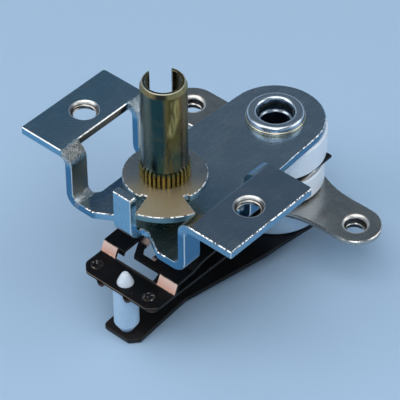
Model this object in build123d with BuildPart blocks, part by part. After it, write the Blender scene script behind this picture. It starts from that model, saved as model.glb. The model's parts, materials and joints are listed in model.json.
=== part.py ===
"""Adjustable bimetal thermostat with a hollow slotted shaft.

Frame: the origin is on the shaft's axis, level with the top of the two ears that are screwed
under a panel. +Z points out of the panel, +X from the shaft to the clamped stack, in millimetres.

How it works: the shaft screws down through the bracket and its ceramic push tip sets the height
of the setting leaf, which carries the fixed contact. The contact leaf above it stands on a ceramic
pin, and the pin stands on the bimetal strip. As the strip warms it bends up, the pin lifts the
contact leaf off the setting leaf, and the current stops.
"""
import os
from math import cos, degrees, pi, radians, sin

from build123d import *

# Bracket, one folded sheet
sheet = 1.2
ear_length = 15.6
ear_reach = 17.8
plate_drop = 7.5
leg_width = 3.0
leg_inner_y = 9.0
bend_inside = 0.8
window_outer_y = 10.7
window_corner = 1.0
plate_half_width = 7.5
plate_end_radius = 6.75
panel_hole_spacing = 28.0
panel_hole_radius = 1.65
panel_hole_chamfer = 0.35
foot_front_y = 5.6
throat_half_width = 2.4
throat_depth = 1.9
throat_corner = 0.5
collar_radius = 3.8
collar_height = 2.5
collar_lip = 0.5

# Stop tab, bent up from the front of the plate
stop_tab_width = 3.0
stop_tab_offset = 0.2
stop_tab_height = 6.1

# Shaft
shaft_radius = 3.0
shaft_height = 12.47
shaft_bore_radius = 2.3
shaft_bore_depth = 10.4
rim_chamfer_height = 0.7
rim_chamfer_width = 0.28
slot_width = 2.9
slot_depth = 6.5
slot_angle = 52.0
knurl_height = 2.45
knurl_depth = 0.28
knurl_shoulder = 0.45
knurl_teeth = 32
knurl_groove_width = 0.22
thread_radius = 2.5
thread_run_out = 0.7
calibration_bore_radius = 1.7
turning_clearance = 0.05

# Stop washer, staked on the shaft below the knurl
stop_washer_drop = 2.62
stop_washer_radius = 5.5
stop_washer_thickness = 1.0
stop_finger_reach = 8.55
stop_finger_half_angle = 26.5
stop_finger_angle = -138.0
relief_width = 0.8
relief_depth = 0.45

# Ceramic push tip and the calibration screw above it
push_tip_head_length = 2.7
push_tip_nose_radius = 1.0
push_tip_dome = 0.5
calibration_screw_length = 3.5
driver_slot_width = 0.6
driver_slot_depth = 0.8

# Clamped stack, from the plate down
stack_x = 21.9
upper_insulator_height = 4.25
upper_insulator_radius = 7.05
middle_insulator_height = 3.65
middle_insulator_radius = 6.85
lower_insulator_height = 3.6
lower_insulator_radius = 7.0
insulator_chamfer = 0.25
leaf_thickness = 0.4
terminal_thickness = 0.8
bimetal_thickness = 0.7
sleeve_wall = 0.7
stack_clearance = 0.05

# Rivet tube and its two washers
tube_radius = 2.95
tube_bore_radius = 2.1
tube_mouth_radius = 2.6
tube_mouth_depth = 2.1
tube_ledge_radius = 2.35
tube_flange_radius = 3.9
tube_flange_thickness = 0.75
tube_foot_thickness = 1.5
top_washer_radius = 4.05
top_washer_thickness = 0.5
bottom_washer_radius = 5.0
bottom_washer_thickness = 0.8

# Terminals
left_terminal_reach = 14.8
right_terminal_reach = 14.2
terminal_end_radius = 3.55
terminal_ring_radius = 6.7
terminal_flare = 13.0
terminal_hole_radius = 1.45
terminal_barrel_radius = 2.0
terminal_barrel_depth = 1.2
terminal_entry_fillet = 0.65

# Contact leaf, from the stack forward: upper run, joggle, web, step and cross bar
leaf_half_width = 6.7
leaf_root_end = 3.9
bar_half_width = 6.45
bar_front_x = -9.8
bar_back_x = -5.7
bar_drop = 3.35
bar_corner = 1.2
step_top_x = -5.0
web_drop = 1.8
joggle_front_x = -2.1
web_rear_drop = 1.65
joggle_back_x = -0.6
upper_run_drop = 0.7
leaf_bend_radius = 0.45
arm_inner_y = 2.9
step_arm_left_y = 4.0
step_arm_right_y = -3.4
web_front_x = -4.8
web_back_x = -3.8
nose_slot_half_width = 1.35
nose_slot_back_x = 2.2
nib_radius = 0.58
nib_depth = 0.5
nib_overhang = 0.15
left_nib_y = 2.85
right_nib_y = -1.9
dimple_radius = 0.6
dimple_depth = 0.2
left_dimple_y = 5.0

# Setting leaf, which lies on one side of the pin
setting_leaf_rise = 0.6
setting_leaf_outer_y = -5.75
setting_leaf_pad_y = 1.3
setting_leaf_pad_front_x = -1.5
setting_leaf_finger_y = -2.5
setting_leaf_front_x = -9.1
setting_leaf_root_radius = 6.2

# Contacts
contact_x = -7.95
contact_y = -4.1
contact_radius = 1.1
contact_gap = 0.05
moving_contact_height = 0.22

# Ceramic pin
pin_x = -7.95
pin_radius = 1.69
pin_foot_radius = 0.85
pin_foot_taper = 1.5
pin_neck_radius = 0.85
pin_cap_radius = 1.15
pin_cap_height = 1.65
pin_cap_tip_radius = 0.4
pin_clearance = 0.05

# Bimetal strip
bimetal_root_radius = 7.0
bimetal_neck_left_y = 2.95
bimetal_neck_right_y = -2.65
bimetal_neck_back_x = 0.7
bimetal_shoulder_x = 13.4
bimetal_shoulder_half_width = 6.0
bimetal_front_x = -9.4
bimetal_left_corner = 0.4
bimetal_right_corner = 1.2
bimetal_tip_drop = 2.3

# Levels and places that follow from the sizes above
ear_half_length = ear_length / 2
plate_top = -plate_drop
plate_bottom = plate_top - sheet
collar_bottom = plate_bottom - collar_height
shaft_bottom = collar_bottom - thread_run_out
stop_washer_top = -stop_washer_drop
shaft_bore_floor = shaft_height - shaft_bore_depth
clamp_edge_x = stack_x - upper_insulator_radius

leaf_top = plate_bottom - upper_insulator_height
left_terminal_top = leaf_top - leaf_thickness
middle_insulator_top = left_terminal_top - terminal_thickness
setting_leaf_top = middle_insulator_top - middle_insulator_height
right_terminal_top = setting_leaf_top - leaf_thickness
lower_insulator_top = right_terminal_top - terminal_thickness
bimetal_top = lower_insulator_top - lower_insulator_height
bimetal_bottom = bimetal_top - bimetal_thickness
bottom_washer_bottom = bimetal_bottom - bottom_washer_thickness
tube_flange_bottom = plate_top + top_washer_thickness

sleeve_inner_radius = tube_radius + stack_clearance
sleeve_outer_radius = sleeve_inner_radius + sleeve_wall
stack_hole_radius = sleeve_outer_radius + stack_clearance

bar_top = leaf_top - bar_drop
bar_bottom = bar_top - leaf_thickness

setting_leaf_slope = setting_leaf_rise / (clamp_edge_x - setting_leaf_front_x)
bimetal_slope = bimetal_tip_drop / (clamp_edge_x - bimetal_front_x)

STACK_AXIS = Axis((stack_x, 0, 0), (0, 0, 1))
SIDE_REACH = 2 * ear_reach


def setting_leaf_level(x):
    """Height of the setting leaf's top at x, forward of the clamp edge."""
    return setting_leaf_top + (clamp_edge_x - x) * setting_leaf_slope


def bimetal_level(x):
    """Height of the bimetal strip's top at x, forward of the clamp edge."""
    return bimetal_top - (clamp_edge_x - x) * bimetal_slope


def folded_sheet(top_line, radii, thickness, width):
    """A strip of sheet: its top line seen from the side, bent at each corner, and its full width."""
    with BuildPart() as strip:
        with BuildSketch(Plane.XZ):
            with BuildLine():
                top = FilletPolyline(*top_line, radius=radii)
                offset(top, amount=thickness, side=Side.LEFT)
            make_face()
        extrude(amount=width / 2, both=True)
    return strip.part


def ring(outer_radius, inner_radius, top, thickness, edge=0.0):
    """A flat ring of the clamped stack, with its outer edges chamfered where edge is given."""
    with BuildPart() as washer:
        with BuildSketch(Plane.XY.offset(top - thickness)):
            with Locations((stack_x, 0)):
                Circle(outer_radius)
                Circle(inner_radius, mode=Mode.SUBTRACT)
        extrude(amount=thickness)
        if edge > 0:
            rims = washer.edges().filter_by(GeomType.CIRCLE).group_by(SortBy.RADIUS)[-1]
            chamfer(rims, length=edge)
    return washer.part


def save(part, name):
    """Label a finished piece and write it as its own STEP file."""
    part.label = name
    export_step(part, f"parts/{name}.step")


os.makedirs("parts", exist_ok=True)

# Mounting bracket: hat-shaped section across the ears, with the plate running back to the stack
with BuildPart() as mounting_bracket:
    with BuildSketch(Plane.YZ):
        with BuildLine():
            bend_outside = bend_inside + sheet
            fold = FilletPolyline(
                (-ear_reach, 0),
                (-leg_inner_y, 0),
                (-leg_inner_y, plate_top),
                (leg_inner_y, plate_top),
                (leg_inner_y, 0),
                (ear_reach, 0),
                radius=[bend_outside, bend_inside, bend_inside, bend_outside],
            )
            offset(fold, amount=sheet, side=Side.RIGHT)
        make_face()
    extrude(amount=ear_half_length, both=True)

    # Plate that tapers to a round end at the stack
    with BuildSketch(Plane.XY.offset(plate_bottom)):
        with Locations((stack_x, 0)):
            Circle(plate_end_radius)
        Rectangle(ear_length, 2 * plate_half_width)
        make_hull()
    extrude(amount=sheet)

    # Windows between the legs
    window_depth = window_outer_y - plate_half_width
    with BuildSketch(Plane.XY.offset(plate_bottom)):
        with Locations((0, plate_half_width + window_depth / 2), (0, -plate_half_width - window_depth / 2)):
            Rectangle(ear_length - 2 * leg_width, window_depth)
        inner_corners = [v for v in vertices() if abs(v.Y) < plate_half_width + window_depth / 2]
        fillet(inner_corners, radius=window_corner)
    extrude(amount=plate_drop + sheet, mode=Mode.SUBTRACT)

    # Throat between the two front feet
    throat_back_x = throat_depth - ear_half_length
    with BuildSketch(Plane.XY.offset(plate_bottom)):
        with BuildLine():
            Polyline(
                (-ear_length, foot_front_y),
                (-ear_half_length, foot_front_y),
                (throat_back_x, throat_half_width),
                (throat_back_x, -throat_half_width),
                (-ear_half_length, -foot_front_y),
                (-ear_length, -foot_front_y),
                close=True,
            )
        make_face()
        fillet(vertices().group_by(Axis.X)[-1], radius=throat_corner)
    extrude(amount=plate_drop, mode=Mode.SUBTRACT)

    # Stop tab, bent up in the throat
    tab_inner_x = sheet - ear_half_length - bend_inside / 4
    with BuildSketch(Plane.XZ.offset(stop_tab_width / 2 - stop_tab_offset)):
        with BuildLine():
            upright = FilletPolyline(
                (throat_back_x + sheet, plate_top),
                (tab_inner_x, plate_top),
                (tab_inner_x, plate_top + stop_tab_height),
                radius=bend_inside,
            )
            offset(upright, amount=sheet, side=Side.LEFT)
        make_face()
    extrude(amount=-stop_tab_width)

    # Threaded collar drawn down around the shaft
    with BuildSketch(Plane.XY.offset(collar_bottom)):
        Circle(collar_radius)
    extrude(amount=collar_height)
    with BuildSketch(Plane.XZ):
        collar_bore = thread_radius + turning_clearance
        Polygon(
            (0, collar_bottom),
            (collar_bore, collar_bottom),
            (collar_bore, plate_top - collar_lip),
            (collar_bore + collar_lip, plate_top),
            (0, plate_top),
            align=None,
        )
    revolve(axis=Axis.Z, mode=Mode.SUBTRACT)

    # Hole for the rivet tube
    with BuildSketch(Plane.XY.offset(plate_bottom)):
        with Locations((stack_x, 0)):
            Circle(tube_radius + stack_clearance)
    extrude(amount=sheet, mode=Mode.SUBTRACT)

    # Panel screw holes, tapped and lightly countersunk
    with Locations((0, panel_hole_spacing / 2, 0), (0, -panel_hole_spacing / 2, 0)):
        CounterSinkHole(
            radius=panel_hole_radius,
            counter_sink_radius=panel_hole_radius + panel_hole_chamfer,
            depth=sheet,
        )
save(mounting_bracket.part, "mounting_bracket")

# Adjusting shaft: slotted hollow top, straight knurl, threaded lower end
knurl_radius = shaft_radius + knurl_depth
knurl_top = stop_washer_top + knurl_height
with BuildPart() as adjusting_shaft:
    with BuildSketch(Plane.XZ):
        Polygon(
            (0, shaft_bottom),
            (thread_radius, shaft_bottom),
            (thread_radius, stop_washer_top),
            (knurl_radius, stop_washer_top),
            (knurl_radius, knurl_top - knurl_shoulder),
            (shaft_radius, knurl_top),
            (shaft_radius, shaft_height - rim_chamfer_height),
            (shaft_radius - rim_chamfer_width, shaft_height),
            (0, shaft_height),
            align=None,
        )
    revolve(axis=Axis.Z)

    # Grooves of the knurl
    with BuildSketch(Plane.XY.offset(stop_washer_top)):
        with PolarLocations(knurl_radius, knurl_teeth):
            Rectangle(2 * knurl_depth, knurl_groove_width)
    extrude(amount=knurl_height, mode=Mode.SUBTRACT)

    # Bore from the top, and the narrower bore from below
    with BuildSketch(Plane.XY.offset(shaft_bore_floor)):
        Circle(shaft_bore_radius)
    extrude(amount=shaft_bore_depth, mode=Mode.SUBTRACT)
    with BuildSketch(Plane.XY.offset(shaft_bottom)):
        Circle(calibration_bore_radius)
    extrude(amount=shaft_bore_floor - shaft_bottom, mode=Mode.SUBTRACT)

    # Slot through one wall
    with BuildSketch(Plane.XY.offset(shaft_height - slot_depth)):
        with PolarLocations(knurl_radius / 2, 1, start_angle=slot_angle):
            Rectangle(knurl_radius, slot_width)
    extrude(amount=slot_depth, mode=Mode.SUBTRACT)
save(adjusting_shaft.part, "adjusting_shaft")

# Stop washer: flat disc with one finger, which meets the stop tab at each end of the turn
with BuildPart() as stop_washer:
    with BuildSketch(Plane.XY.offset(stop_washer_top - stop_washer_thickness)):
        first_angle = radians(stop_finger_angle - stop_finger_half_angle)
        last_angle = radians(stop_finger_angle + stop_finger_half_angle)
        Circle(stop_finger_reach)
        Polygon(
            (0, 0),
            (2 * stop_finger_reach * cos(first_angle), 2 * stop_finger_reach * sin(first_angle)),
            (2 * stop_finger_reach * cos(last_angle), 2 * stop_finger_reach * sin(last_angle)),
            align=None,
            mode=Mode.INTERSECT,
        )
        Circle(stop_washer_radius)
        # Reliefs where the finger leaves the disc
        for side, edge_angle in ((-1, first_angle), (1, last_angle)):
            relief_angle = degrees(edge_angle) + side * degrees(relief_width / 2 / stop_washer_radius)
            with PolarLocations(stop_washer_radius, 1, start_angle=relief_angle):
                Rectangle(2 * relief_depth, relief_width, mode=Mode.SUBTRACT)
        Circle(thread_radius + turning_clearance, mode=Mode.SUBTRACT)
    extrude(amount=stop_washer_thickness)
save(stop_washer.part, "stop_washer")

# Ceramic push tip: head in the shaft's bore, long nose through the contact leaf
nose_bottom = setting_leaf_level(0) + contact_gap
push_tip_shoulder = shaft_bottom
push_tip_top = push_tip_shoulder + push_tip_head_length
with BuildPart() as push_tip:
    with BuildSketch(Plane.XZ):
        with BuildLine():
            head_radius = calibration_bore_radius - turning_clearance
            Polyline(
                (0, nose_bottom),
                (0, push_tip_top),
                (head_radius, push_tip_top),
                (head_radius, push_tip_shoulder),
                (push_tip_nose_radius, push_tip_shoulder - (head_radius - push_tip_nose_radius) / 2),
                (push_tip_nose_radius, nose_bottom + push_tip_dome),
                (push_tip_nose_radius / 2, nose_bottom),
                close=True,
            )
        make_face()
    revolve(axis=Axis.Z)
save(push_tip.part, "push_tip")

# Calibration screw, slotted, in the bore above the push tip
with BuildPart() as calibration_screw:
    with BuildSketch(Plane.XY.offset(push_tip_top + turning_clearance)):
        Circle(calibration_bore_radius - turning_clearance)
    extrude(amount=calibration_screw_length)
    with BuildSketch(Plane.XY.offset(push_tip_top + turning_clearance + calibration_screw_length)):
        Rectangle(2 * calibration_bore_radius, driver_slot_width)
    extrude(amount=-driver_slot_depth, mode=Mode.SUBTRACT)
save(calibration_screw.part, "calibration_screw")

# Rivet tube: rolled over at the top, with a tapered mouth that ends on a ledge, and a flat foot below
with BuildPart() as rivet_tube:
    flange_top = tube_flange_bottom + tube_flange_thickness
    foot_bottom = bottom_washer_bottom - tube_foot_thickness
    mouth_floor = flange_top - tube_mouth_depth
    with BuildSketch(Plane.XZ):
        with BuildLine():
            Polyline(
                (stack_x + tube_bore_radius, foot_bottom),
                (stack_x + tube_bore_radius, mouth_floor),
                (stack_x + tube_ledge_radius, mouth_floor + tube_ledge_radius - tube_bore_radius),
                (stack_x + tube_mouth_radius, flange_top),
                (stack_x + tube_flange_radius, flange_top),
                (stack_x + tube_flange_radius, tube_flange_bottom),
                (stack_x + tube_radius, tube_flange_bottom),
                (stack_x + tube_radius, bottom_washer_bottom),
                (stack_x + tube_flange_radius, bottom_washer_bottom),
                (stack_x + tube_flange_radius, foot_bottom),
                close=True,
            )
        make_face()
    revolve(axis=STACK_AXIS)
    rolled = rivet_tube.edges().filter_by(GeomType.CIRCLE).group_by(Axis.Z)[-1]
    fillet(rolled, radius=tube_flange_thickness * 0.65)
save(rivet_tube.part, "rivet_tube")

# Rings of the stack that are turned or pressed as plain washers
save(ring(top_washer_radius, tube_radius + stack_clearance, tube_flange_bottom, top_washer_thickness, 0.1),
     "top_washer")
save(ring(bottom_washer_radius, tube_radius + stack_clearance, bimetal_bottom, bottom_washer_thickness, 0.1),
     "bottom_washer")
save(ring(upper_insulator_radius, stack_hole_radius, plate_bottom, upper_insulator_height, insulator_chamfer),
     "upper_insulator")
save(ring(middle_insulator_radius, stack_hole_radius, middle_insulator_top, middle_insulator_height,
          insulator_chamfer), "middle_insulator")
save(ring(lower_insulator_radius, stack_hole_radius, lower_insulator_top, lower_insulator_height,
          insulator_chamfer), "lower_insulator")
save(ring(sleeve_outer_radius, sleeve_inner_radius, plate_bottom, plate_bottom - bimetal_top),
     "insulating_sleeve")


def terminal(top, hole_y):
    """A terminal tag: ring in the stack, flared neck and a tapped hole drawn down as a barrel."""
    with BuildPart() as tag:
        with BuildSketch(Plane.XY.offset(top - terminal_thickness)):
            with Locations((stack_x, 0)):
                Circle(terminal_ring_radius)
            with Locations((stack_x, hole_y / 2)):
                Rectangle(2 * terminal_end_radius, abs(hole_y))
            ring_corners = [v for v in vertices() if 0.3 < v.Y / hole_y < 0.9]
            fillet(ring_corners, radius=terminal_flare)
            with Locations((stack_x, hole_y)):
                Circle(terminal_end_radius)
        extrude(amount=terminal_thickness)
        with BuildSketch(Plane.XY.offset(top - terminal_thickness - terminal_barrel_depth)):
            with Locations((stack_x, hole_y)):
                Circle(terminal_barrel_radius)
        extrude(amount=terminal_barrel_depth)
        with BuildSketch(Plane.XY.offset(top - terminal_thickness - terminal_barrel_depth)):
            with Locations((stack_x, hole_y)):
                Circle(terminal_hole_radius)
            with Locations((stack_x, 0)):
                Circle(stack_hole_radius)
        extrude(amount=terminal_thickness + terminal_barrel_depth, mode=Mode.SUBTRACT)
        entry = tag.edges().filter_by(GeomType.CIRCLE).filter_by_position(Axis.Z, top, top)
        fillet(entry.group_by(SortBy.RADIUS)[0], radius=terminal_entry_fillet)
    return tag.part


save(terminal(left_terminal_top, left_terminal_reach), "left_terminal")
save(terminal(right_terminal_top, -right_terminal_reach), "right_terminal")

# Contact leaf: spring sheet stepped down twice, with a window before the bar
with BuildPart() as contact_leaf:
    leaf_end_x = stack_x + leaf_root_end
    add(folded_sheet(
        [
            (leaf_end_x, leaf_top),
            (clamp_edge_x, leaf_top),
            (joggle_back_x, leaf_top - upper_run_drop),
            (joggle_front_x, leaf_top - web_rear_drop),
            (step_top_x, leaf_top - web_drop),
            (bar_back_x, bar_top),
            (bar_front_x, bar_top),
        ],
        leaf_bend_radius,
        leaf_thickness,
        SIDE_REACH,
    ))
    with BuildSketch(Plane.XY.offset(bar_bottom)):
        with BuildLine():
            Polyline(
                (leaf_end_x, leaf_half_width),
                (joggle_back_x, leaf_half_width),
                (joggle_front_x, bar_half_width),
                (bar_front_x + bar_corner, bar_half_width),
                (bar_front_x, bar_half_width - bar_corner),
                (bar_front_x, bar_corner - bar_half_width),
                (bar_front_x + bar_corner, -bar_half_width),
                (joggle_front_x, -bar_half_width),
                (joggle_back_x, -leaf_half_width),
                (leaf_end_x, -leaf_half_width),
                close=True,
            )
        make_face()
        # Window between the bar and the web
        with BuildLine():
            Polyline(
                (bar_back_x + leaf_thickness / 4, step_arm_left_y),
                (step_top_x, step_arm_left_y),
                (step_top_x, arm_inner_y),
                (joggle_front_x, arm_inner_y),
                (web_front_x, nose_slot_half_width),
                (web_front_x, step_arm_right_y),
                (bar_back_x + leaf_thickness / 4, step_arm_right_y),
                close=True,
            )
        make_face(mode=Mode.SUBTRACT)
        # Slot that lets the push tip's nose through
        with BuildLine():
            Polyline(
                (web_back_x, nose_slot_half_width / 2),
                (joggle_front_x - nose_slot_half_width / 2, nose_slot_half_width),
                (nose_slot_back_x, nose_slot_half_width),
                (nose_slot_back_x, -nose_slot_half_width),
                (web_back_x, -nose_slot_half_width),
                close=True,
            )
        make_face(mode=Mode.SUBTRACT)
        with Locations((stack_x, 0)):
            Circle(stack_hole_radius, mode=Mode.SUBTRACT)
        with Locations((pin_x, 0)):
            Circle(pin_neck_radius + pin_clearance, mode=Mode.SUBTRACT)
    extrude(amount=bar_drop + leaf_thickness, mode=Mode.INTERSECT)

    # Nibs under the front edge and weld dimples on top of the bar
    nib_x = bar_front_x + nib_radius - nib_overhang
    with BuildSketch(Plane.XY.offset(bar_bottom)):
        with Locations((nib_x, left_nib_y), (nib_x, right_nib_y)):
            Circle(nib_radius)
    extrude(amount=-nib_depth, taper=25)
    for dimple_y in (left_dimple_y, contact_y):
        with Locations((contact_x, dimple_y, bar_top)):
            Cone(0.05, dimple_radius, dimple_depth, align=(Align.CENTER, Align.CENTER, Align.MAX),
                 mode=Mode.SUBTRACT)
save(contact_leaf.part, "contact_leaf")

# Setting leaf: clamped above the right terminal, it rises gently to the fixed contact
with BuildPart() as setting_leaf:
    root_end_x = stack_x + setting_leaf_root_radius
    add(folded_sheet(
        [
            (root_end_x, setting_leaf_top),
            (clamp_edge_x, setting_leaf_top),
            (setting_leaf_front_x, setting_leaf_level(setting_leaf_front_x)),
        ],
        leaf_bend_radius,
        leaf_thickness,
        SIDE_REACH,
    ))
    with BuildSketch(Plane.XY.offset(right_terminal_top)):
        with BuildLine():
            Polyline(
                (stack_x, setting_leaf_outer_y),
                (setting_leaf_front_x, setting_leaf_outer_y),
                (setting_leaf_front_x, setting_leaf_finger_y),
                (setting_leaf_pad_front_x + setting_leaf_finger_y, setting_leaf_finger_y),
                (setting_leaf_pad_front_x, 0),
                (setting_leaf_pad_front_x, setting_leaf_pad_y),
                (stack_x / 2, setting_leaf_pad_y),
                (clamp_edge_x + leaf_thickness, -setting_leaf_outer_y * 0.8),
                (stack_x, -setting_leaf_outer_y),
                close=True,
            )
        make_face()
        with Locations((stack_x, 0)):
            Circle(setting_leaf_root_radius)
            Circle(stack_hole_radius, mode=Mode.SUBTRACT)
    extrude(amount=leaf_thickness + setting_leaf_rise, mode=Mode.INTERSECT)
save(setting_leaf.part, "setting_leaf")

# Contacts: the moving one hangs under the bar, the fixed one stands on the setting leaf
with BuildPart() as moving_contact:
    with BuildSketch(Plane.XY.offset(bar_bottom)):
        with Locations((contact_x, contact_y)):
            Circle(contact_radius)
    extrude(amount=-moving_contact_height)
save(moving_contact.part, "moving_contact")

with BuildPart() as fixed_contact:
    seat_level = setting_leaf_level(contact_x)
    fixed_contact_height = bar_bottom - moving_contact_height - seat_level - contact_gap
    tilt = Vector(setting_leaf_slope, 0, 1)
    seat = Plane(origin=(contact_x, contact_y, seat_level), x_dir=(1, 0, -setting_leaf_slope), z_dir=tilt)
    with BuildSketch(seat):
        Circle(contact_radius)
    extrude(amount=fixed_contact_height - contact_radius * setting_leaf_slope)
save(fixed_contact.part, "fixed_contact")

# Ceramic pin: bell cap above the bar, body below it, tapered foot on the bimetal
with BuildPart() as ceramic_pin:
    pin_foot = bimetal_level(pin_x - pin_foot_radius) + contact_gap
    pin_foot += 2 * pin_foot_radius * bimetal_slope
    with BuildSketch(Plane.XZ):
        with BuildLine():
            Polyline(
                (pin_x + pin_cap_tip_radius, bar_top + pin_cap_height),
                (pin_x, bar_top + pin_cap_height),
                (pin_x, pin_foot),
                (pin_x + pin_foot_radius, pin_foot),
                (pin_x + pin_radius, pin_foot + pin_foot_taper),
                (pin_x + pin_radius, bar_bottom),
                (pin_x + pin_neck_radius, bar_bottom),
                (pin_x + pin_neck_radius, bar_top),
                (pin_x + pin_cap_radius, bar_top),
            )
            Spline(
                (pin_x + pin_cap_radius, bar_top),
                (pin_x + pin_cap_radius * 0.72, bar_top + pin_cap_height * 0.5),
                (pin_x + pin_cap_tip_radius, bar_top + pin_cap_height),
            )
        make_face()
    revolve(axis=Axis((pin_x, 0, 0), (0, 0, 1)))
    apex = ceramic_pin.edges().filter_by(GeomType.CIRCLE).group_by(Axis.Z)[-1]
    fillet(apex, radius=pin_cap_tip_radius * 0.6)
save(ceramic_pin.part, "ceramic_pin")

# Bimetal strip: round root in the stack, tapering to a neck that slopes down to the pin
with BuildPart() as bimetal_strip:
    add(folded_sheet(
        [
            (stack_x + bimetal_root_radius, bimetal_top),
            (clamp_edge_x, bimetal_top),
            (bimetal_front_x, bimetal_level(bimetal_front_x)),
        ],
        leaf_bend_radius,
        bimetal_thickness,
        SIDE_REACH,
    ))
    with BuildSketch(Plane.XY.offset(bimetal_level(bimetal_front_x) - 2 * bimetal_thickness)):
        with BuildLine():
            Polyline(
                (stack_x, bimetal_root_radius),
                (bimetal_shoulder_x, bimetal_shoulder_half_width),
                (bimetal_neck_back_x, bimetal_neck_left_y),
                (bimetal_front_x + bimetal_left_corner, bimetal_neck_left_y),
                (bimetal_front_x, bimetal_neck_left_y - bimetal_left_corner),
                (bimetal_front_x, bimetal_neck_right_y + bimetal_right_corner),
                (bimetal_front_x + bimetal_right_corner, bimetal_neck_right_y),
                (bimetal_neck_back_x, bimetal_neck_right_y),
                (bimetal_shoulder_x, -bimetal_shoulder_half_width),
                (stack_x, -bimetal_root_radius),
                close=True,
            )
        make_face()
        with Locations((stack_x, 0)):
            Circle(bimetal_root_radius)
        with Locations((stack_x, 0)):
            Circle(tube_radius + stack_clearance, mode=Mode.SUBTRACT)
    extrude(amount=bimetal_tip_drop + 3 * bimetal_thickness, mode=Mode.INTERSECT)
save(bimetal_strip.part, "bimetal_strip")

print("pin foot", round(pin_foot, 3), "nose", round(nose_bottom, 3), "fixed contact", round(fixed_contact_height, 3))
print("foot of the rivet", round(foot_bottom, 3))
print("tip of the bimetal", round(bimetal_level(bimetal_front_x) - bimetal_thickness, 3))
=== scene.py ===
# %% [markdown]
# # A bimetal thermostat on a table
# The part is a small switch that a warm surface opens and closes. A slotted shaft sets the
# temperature, two spring leaves carry the contacts, and a strip of two bonded metals bends as it
# warms and lifts a ceramic pin. The CAD model gives every piece its exact shape and place, so this
# lesson is about what CAD leaves out: rolled sheet, plating, oxide, ceramic, worn edges, threads.

# %% Load the measured model
import json
from math import cos, pi, radians, sin

import bmesh
import bpy
from mathutils import Matrix, Vector, noise


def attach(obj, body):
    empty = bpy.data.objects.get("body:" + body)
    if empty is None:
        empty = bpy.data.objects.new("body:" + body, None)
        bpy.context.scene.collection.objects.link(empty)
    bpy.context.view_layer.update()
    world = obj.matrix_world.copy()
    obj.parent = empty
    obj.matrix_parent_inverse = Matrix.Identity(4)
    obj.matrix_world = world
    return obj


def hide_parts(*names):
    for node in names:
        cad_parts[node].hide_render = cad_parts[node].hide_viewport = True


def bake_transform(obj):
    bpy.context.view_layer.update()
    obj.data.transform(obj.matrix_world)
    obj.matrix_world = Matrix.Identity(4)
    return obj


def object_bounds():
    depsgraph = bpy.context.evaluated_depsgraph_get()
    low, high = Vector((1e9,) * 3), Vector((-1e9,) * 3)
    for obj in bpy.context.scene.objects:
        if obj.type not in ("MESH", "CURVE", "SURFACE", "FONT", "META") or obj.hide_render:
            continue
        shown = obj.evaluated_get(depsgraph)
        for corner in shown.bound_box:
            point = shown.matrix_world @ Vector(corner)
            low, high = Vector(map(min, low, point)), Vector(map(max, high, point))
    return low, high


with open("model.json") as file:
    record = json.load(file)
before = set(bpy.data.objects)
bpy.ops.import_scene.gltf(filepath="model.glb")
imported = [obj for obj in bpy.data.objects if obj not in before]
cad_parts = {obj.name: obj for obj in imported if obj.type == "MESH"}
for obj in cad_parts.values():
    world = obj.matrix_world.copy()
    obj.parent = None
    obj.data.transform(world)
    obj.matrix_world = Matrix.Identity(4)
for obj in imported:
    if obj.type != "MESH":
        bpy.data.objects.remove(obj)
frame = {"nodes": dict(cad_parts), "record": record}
nodes = frame["nodes"]
cad_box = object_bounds()
MM = 0.001


def box_in_mm(box):
    return [[round(v / MM, 2) for v in corner] for corner in box]


print("CAD pieces:", len(nodes), "box in mm:", box_in_mm(cad_box))

# %% Holes that the record gives, in millimetres
mounts = {mount["name"]: mount for mount in frame["record"]["mounts"]}


def hole_centre(mount_name):
    """Where a hole's axis stands, as x and y."""
    return [round(v / MM, 4) for v in mounts[mount_name]["pos_m"][:2]]


panel_hole_y = mounts["panel_screws"]["dims"]["spacing_y_mm"] / 2
panel_hole_wall = mounts["panel_screws"]["dims"]["hole_r_mm"]
left_tag_hole, right_tag_hole = hole_centre("left_terminal_hole"), hole_centre("right_terminal_hole")
tag_hole_wall = mounts["right_terminal_hole"]["dims"]["r_mm"]
rivet_x = hole_centre("rivet_bore")[0]
print("panel holes at y", panel_hole_y, "tag holes at", left_tag_hole, right_tag_hole)

# %% [markdown]
# ## Camera
# The portrait was taken from above one front corner with a long lens. A long lens from far away
# keeps parallel edges nearly parallel, which is how small parts are usually photographed. The
# camera is placed by two angles around the shaft, a distance, and a small slide to frame the part.
# A matrix built from the three directions of the camera avoids any guess about rotation order.

# %% Camera placed by two angles and a distance
view_turn, view_height, view_roll = radians(-48.373), radians(42.42), radians(-0.355)
view_distance, slide_right, slide_up = 308.99 * MM, 4.446 * MM, -5.46 * MM
focal_pixels, picture_pixels, film_width, nearest = 2445.58, 400, 36.0, 10 * MM


def stand(name, data):
    """Add an object to the scene."""
    thing = bpy.data.objects.new(name, data)
    bpy.context.scene.collection.objects.link(thing)
    return thing


def direction(turn, height):
    """The way from the part to a place at a compass turn and a height, both in radians."""
    return Vector((sin(turn) * cos(height), -cos(turn) * cos(height), sin(height)))


to_camera = direction(view_turn, view_height)
level_right = Vector((cos(view_turn), sin(view_turn), 0))
level_up = to_camera.cross(level_right)
camera_right = level_right * cos(view_roll) + level_up * sin(view_roll)
camera_up = -level_right * sin(view_roll) + level_up * cos(view_roll)

camera = stand("camera", bpy.data.cameras.new("camera"))
camera.matrix_world = Matrix.Translation(
    camera_right * slide_right + camera_up * slide_up + to_camera * view_distance
) @ Matrix((camera_right, camera_up, to_camera)).transposed().to_4x4()
camera.data.sensor_width = film_width
camera.data.lens = focal_pixels / picture_pixels * film_width
camera.data.clip_start = nearest
bpy.context.scene.camera = camera
print("camera lens", round(camera.data.lens, 1), "mm, standing at", [round(v, 4) for v in camera.location])

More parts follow.
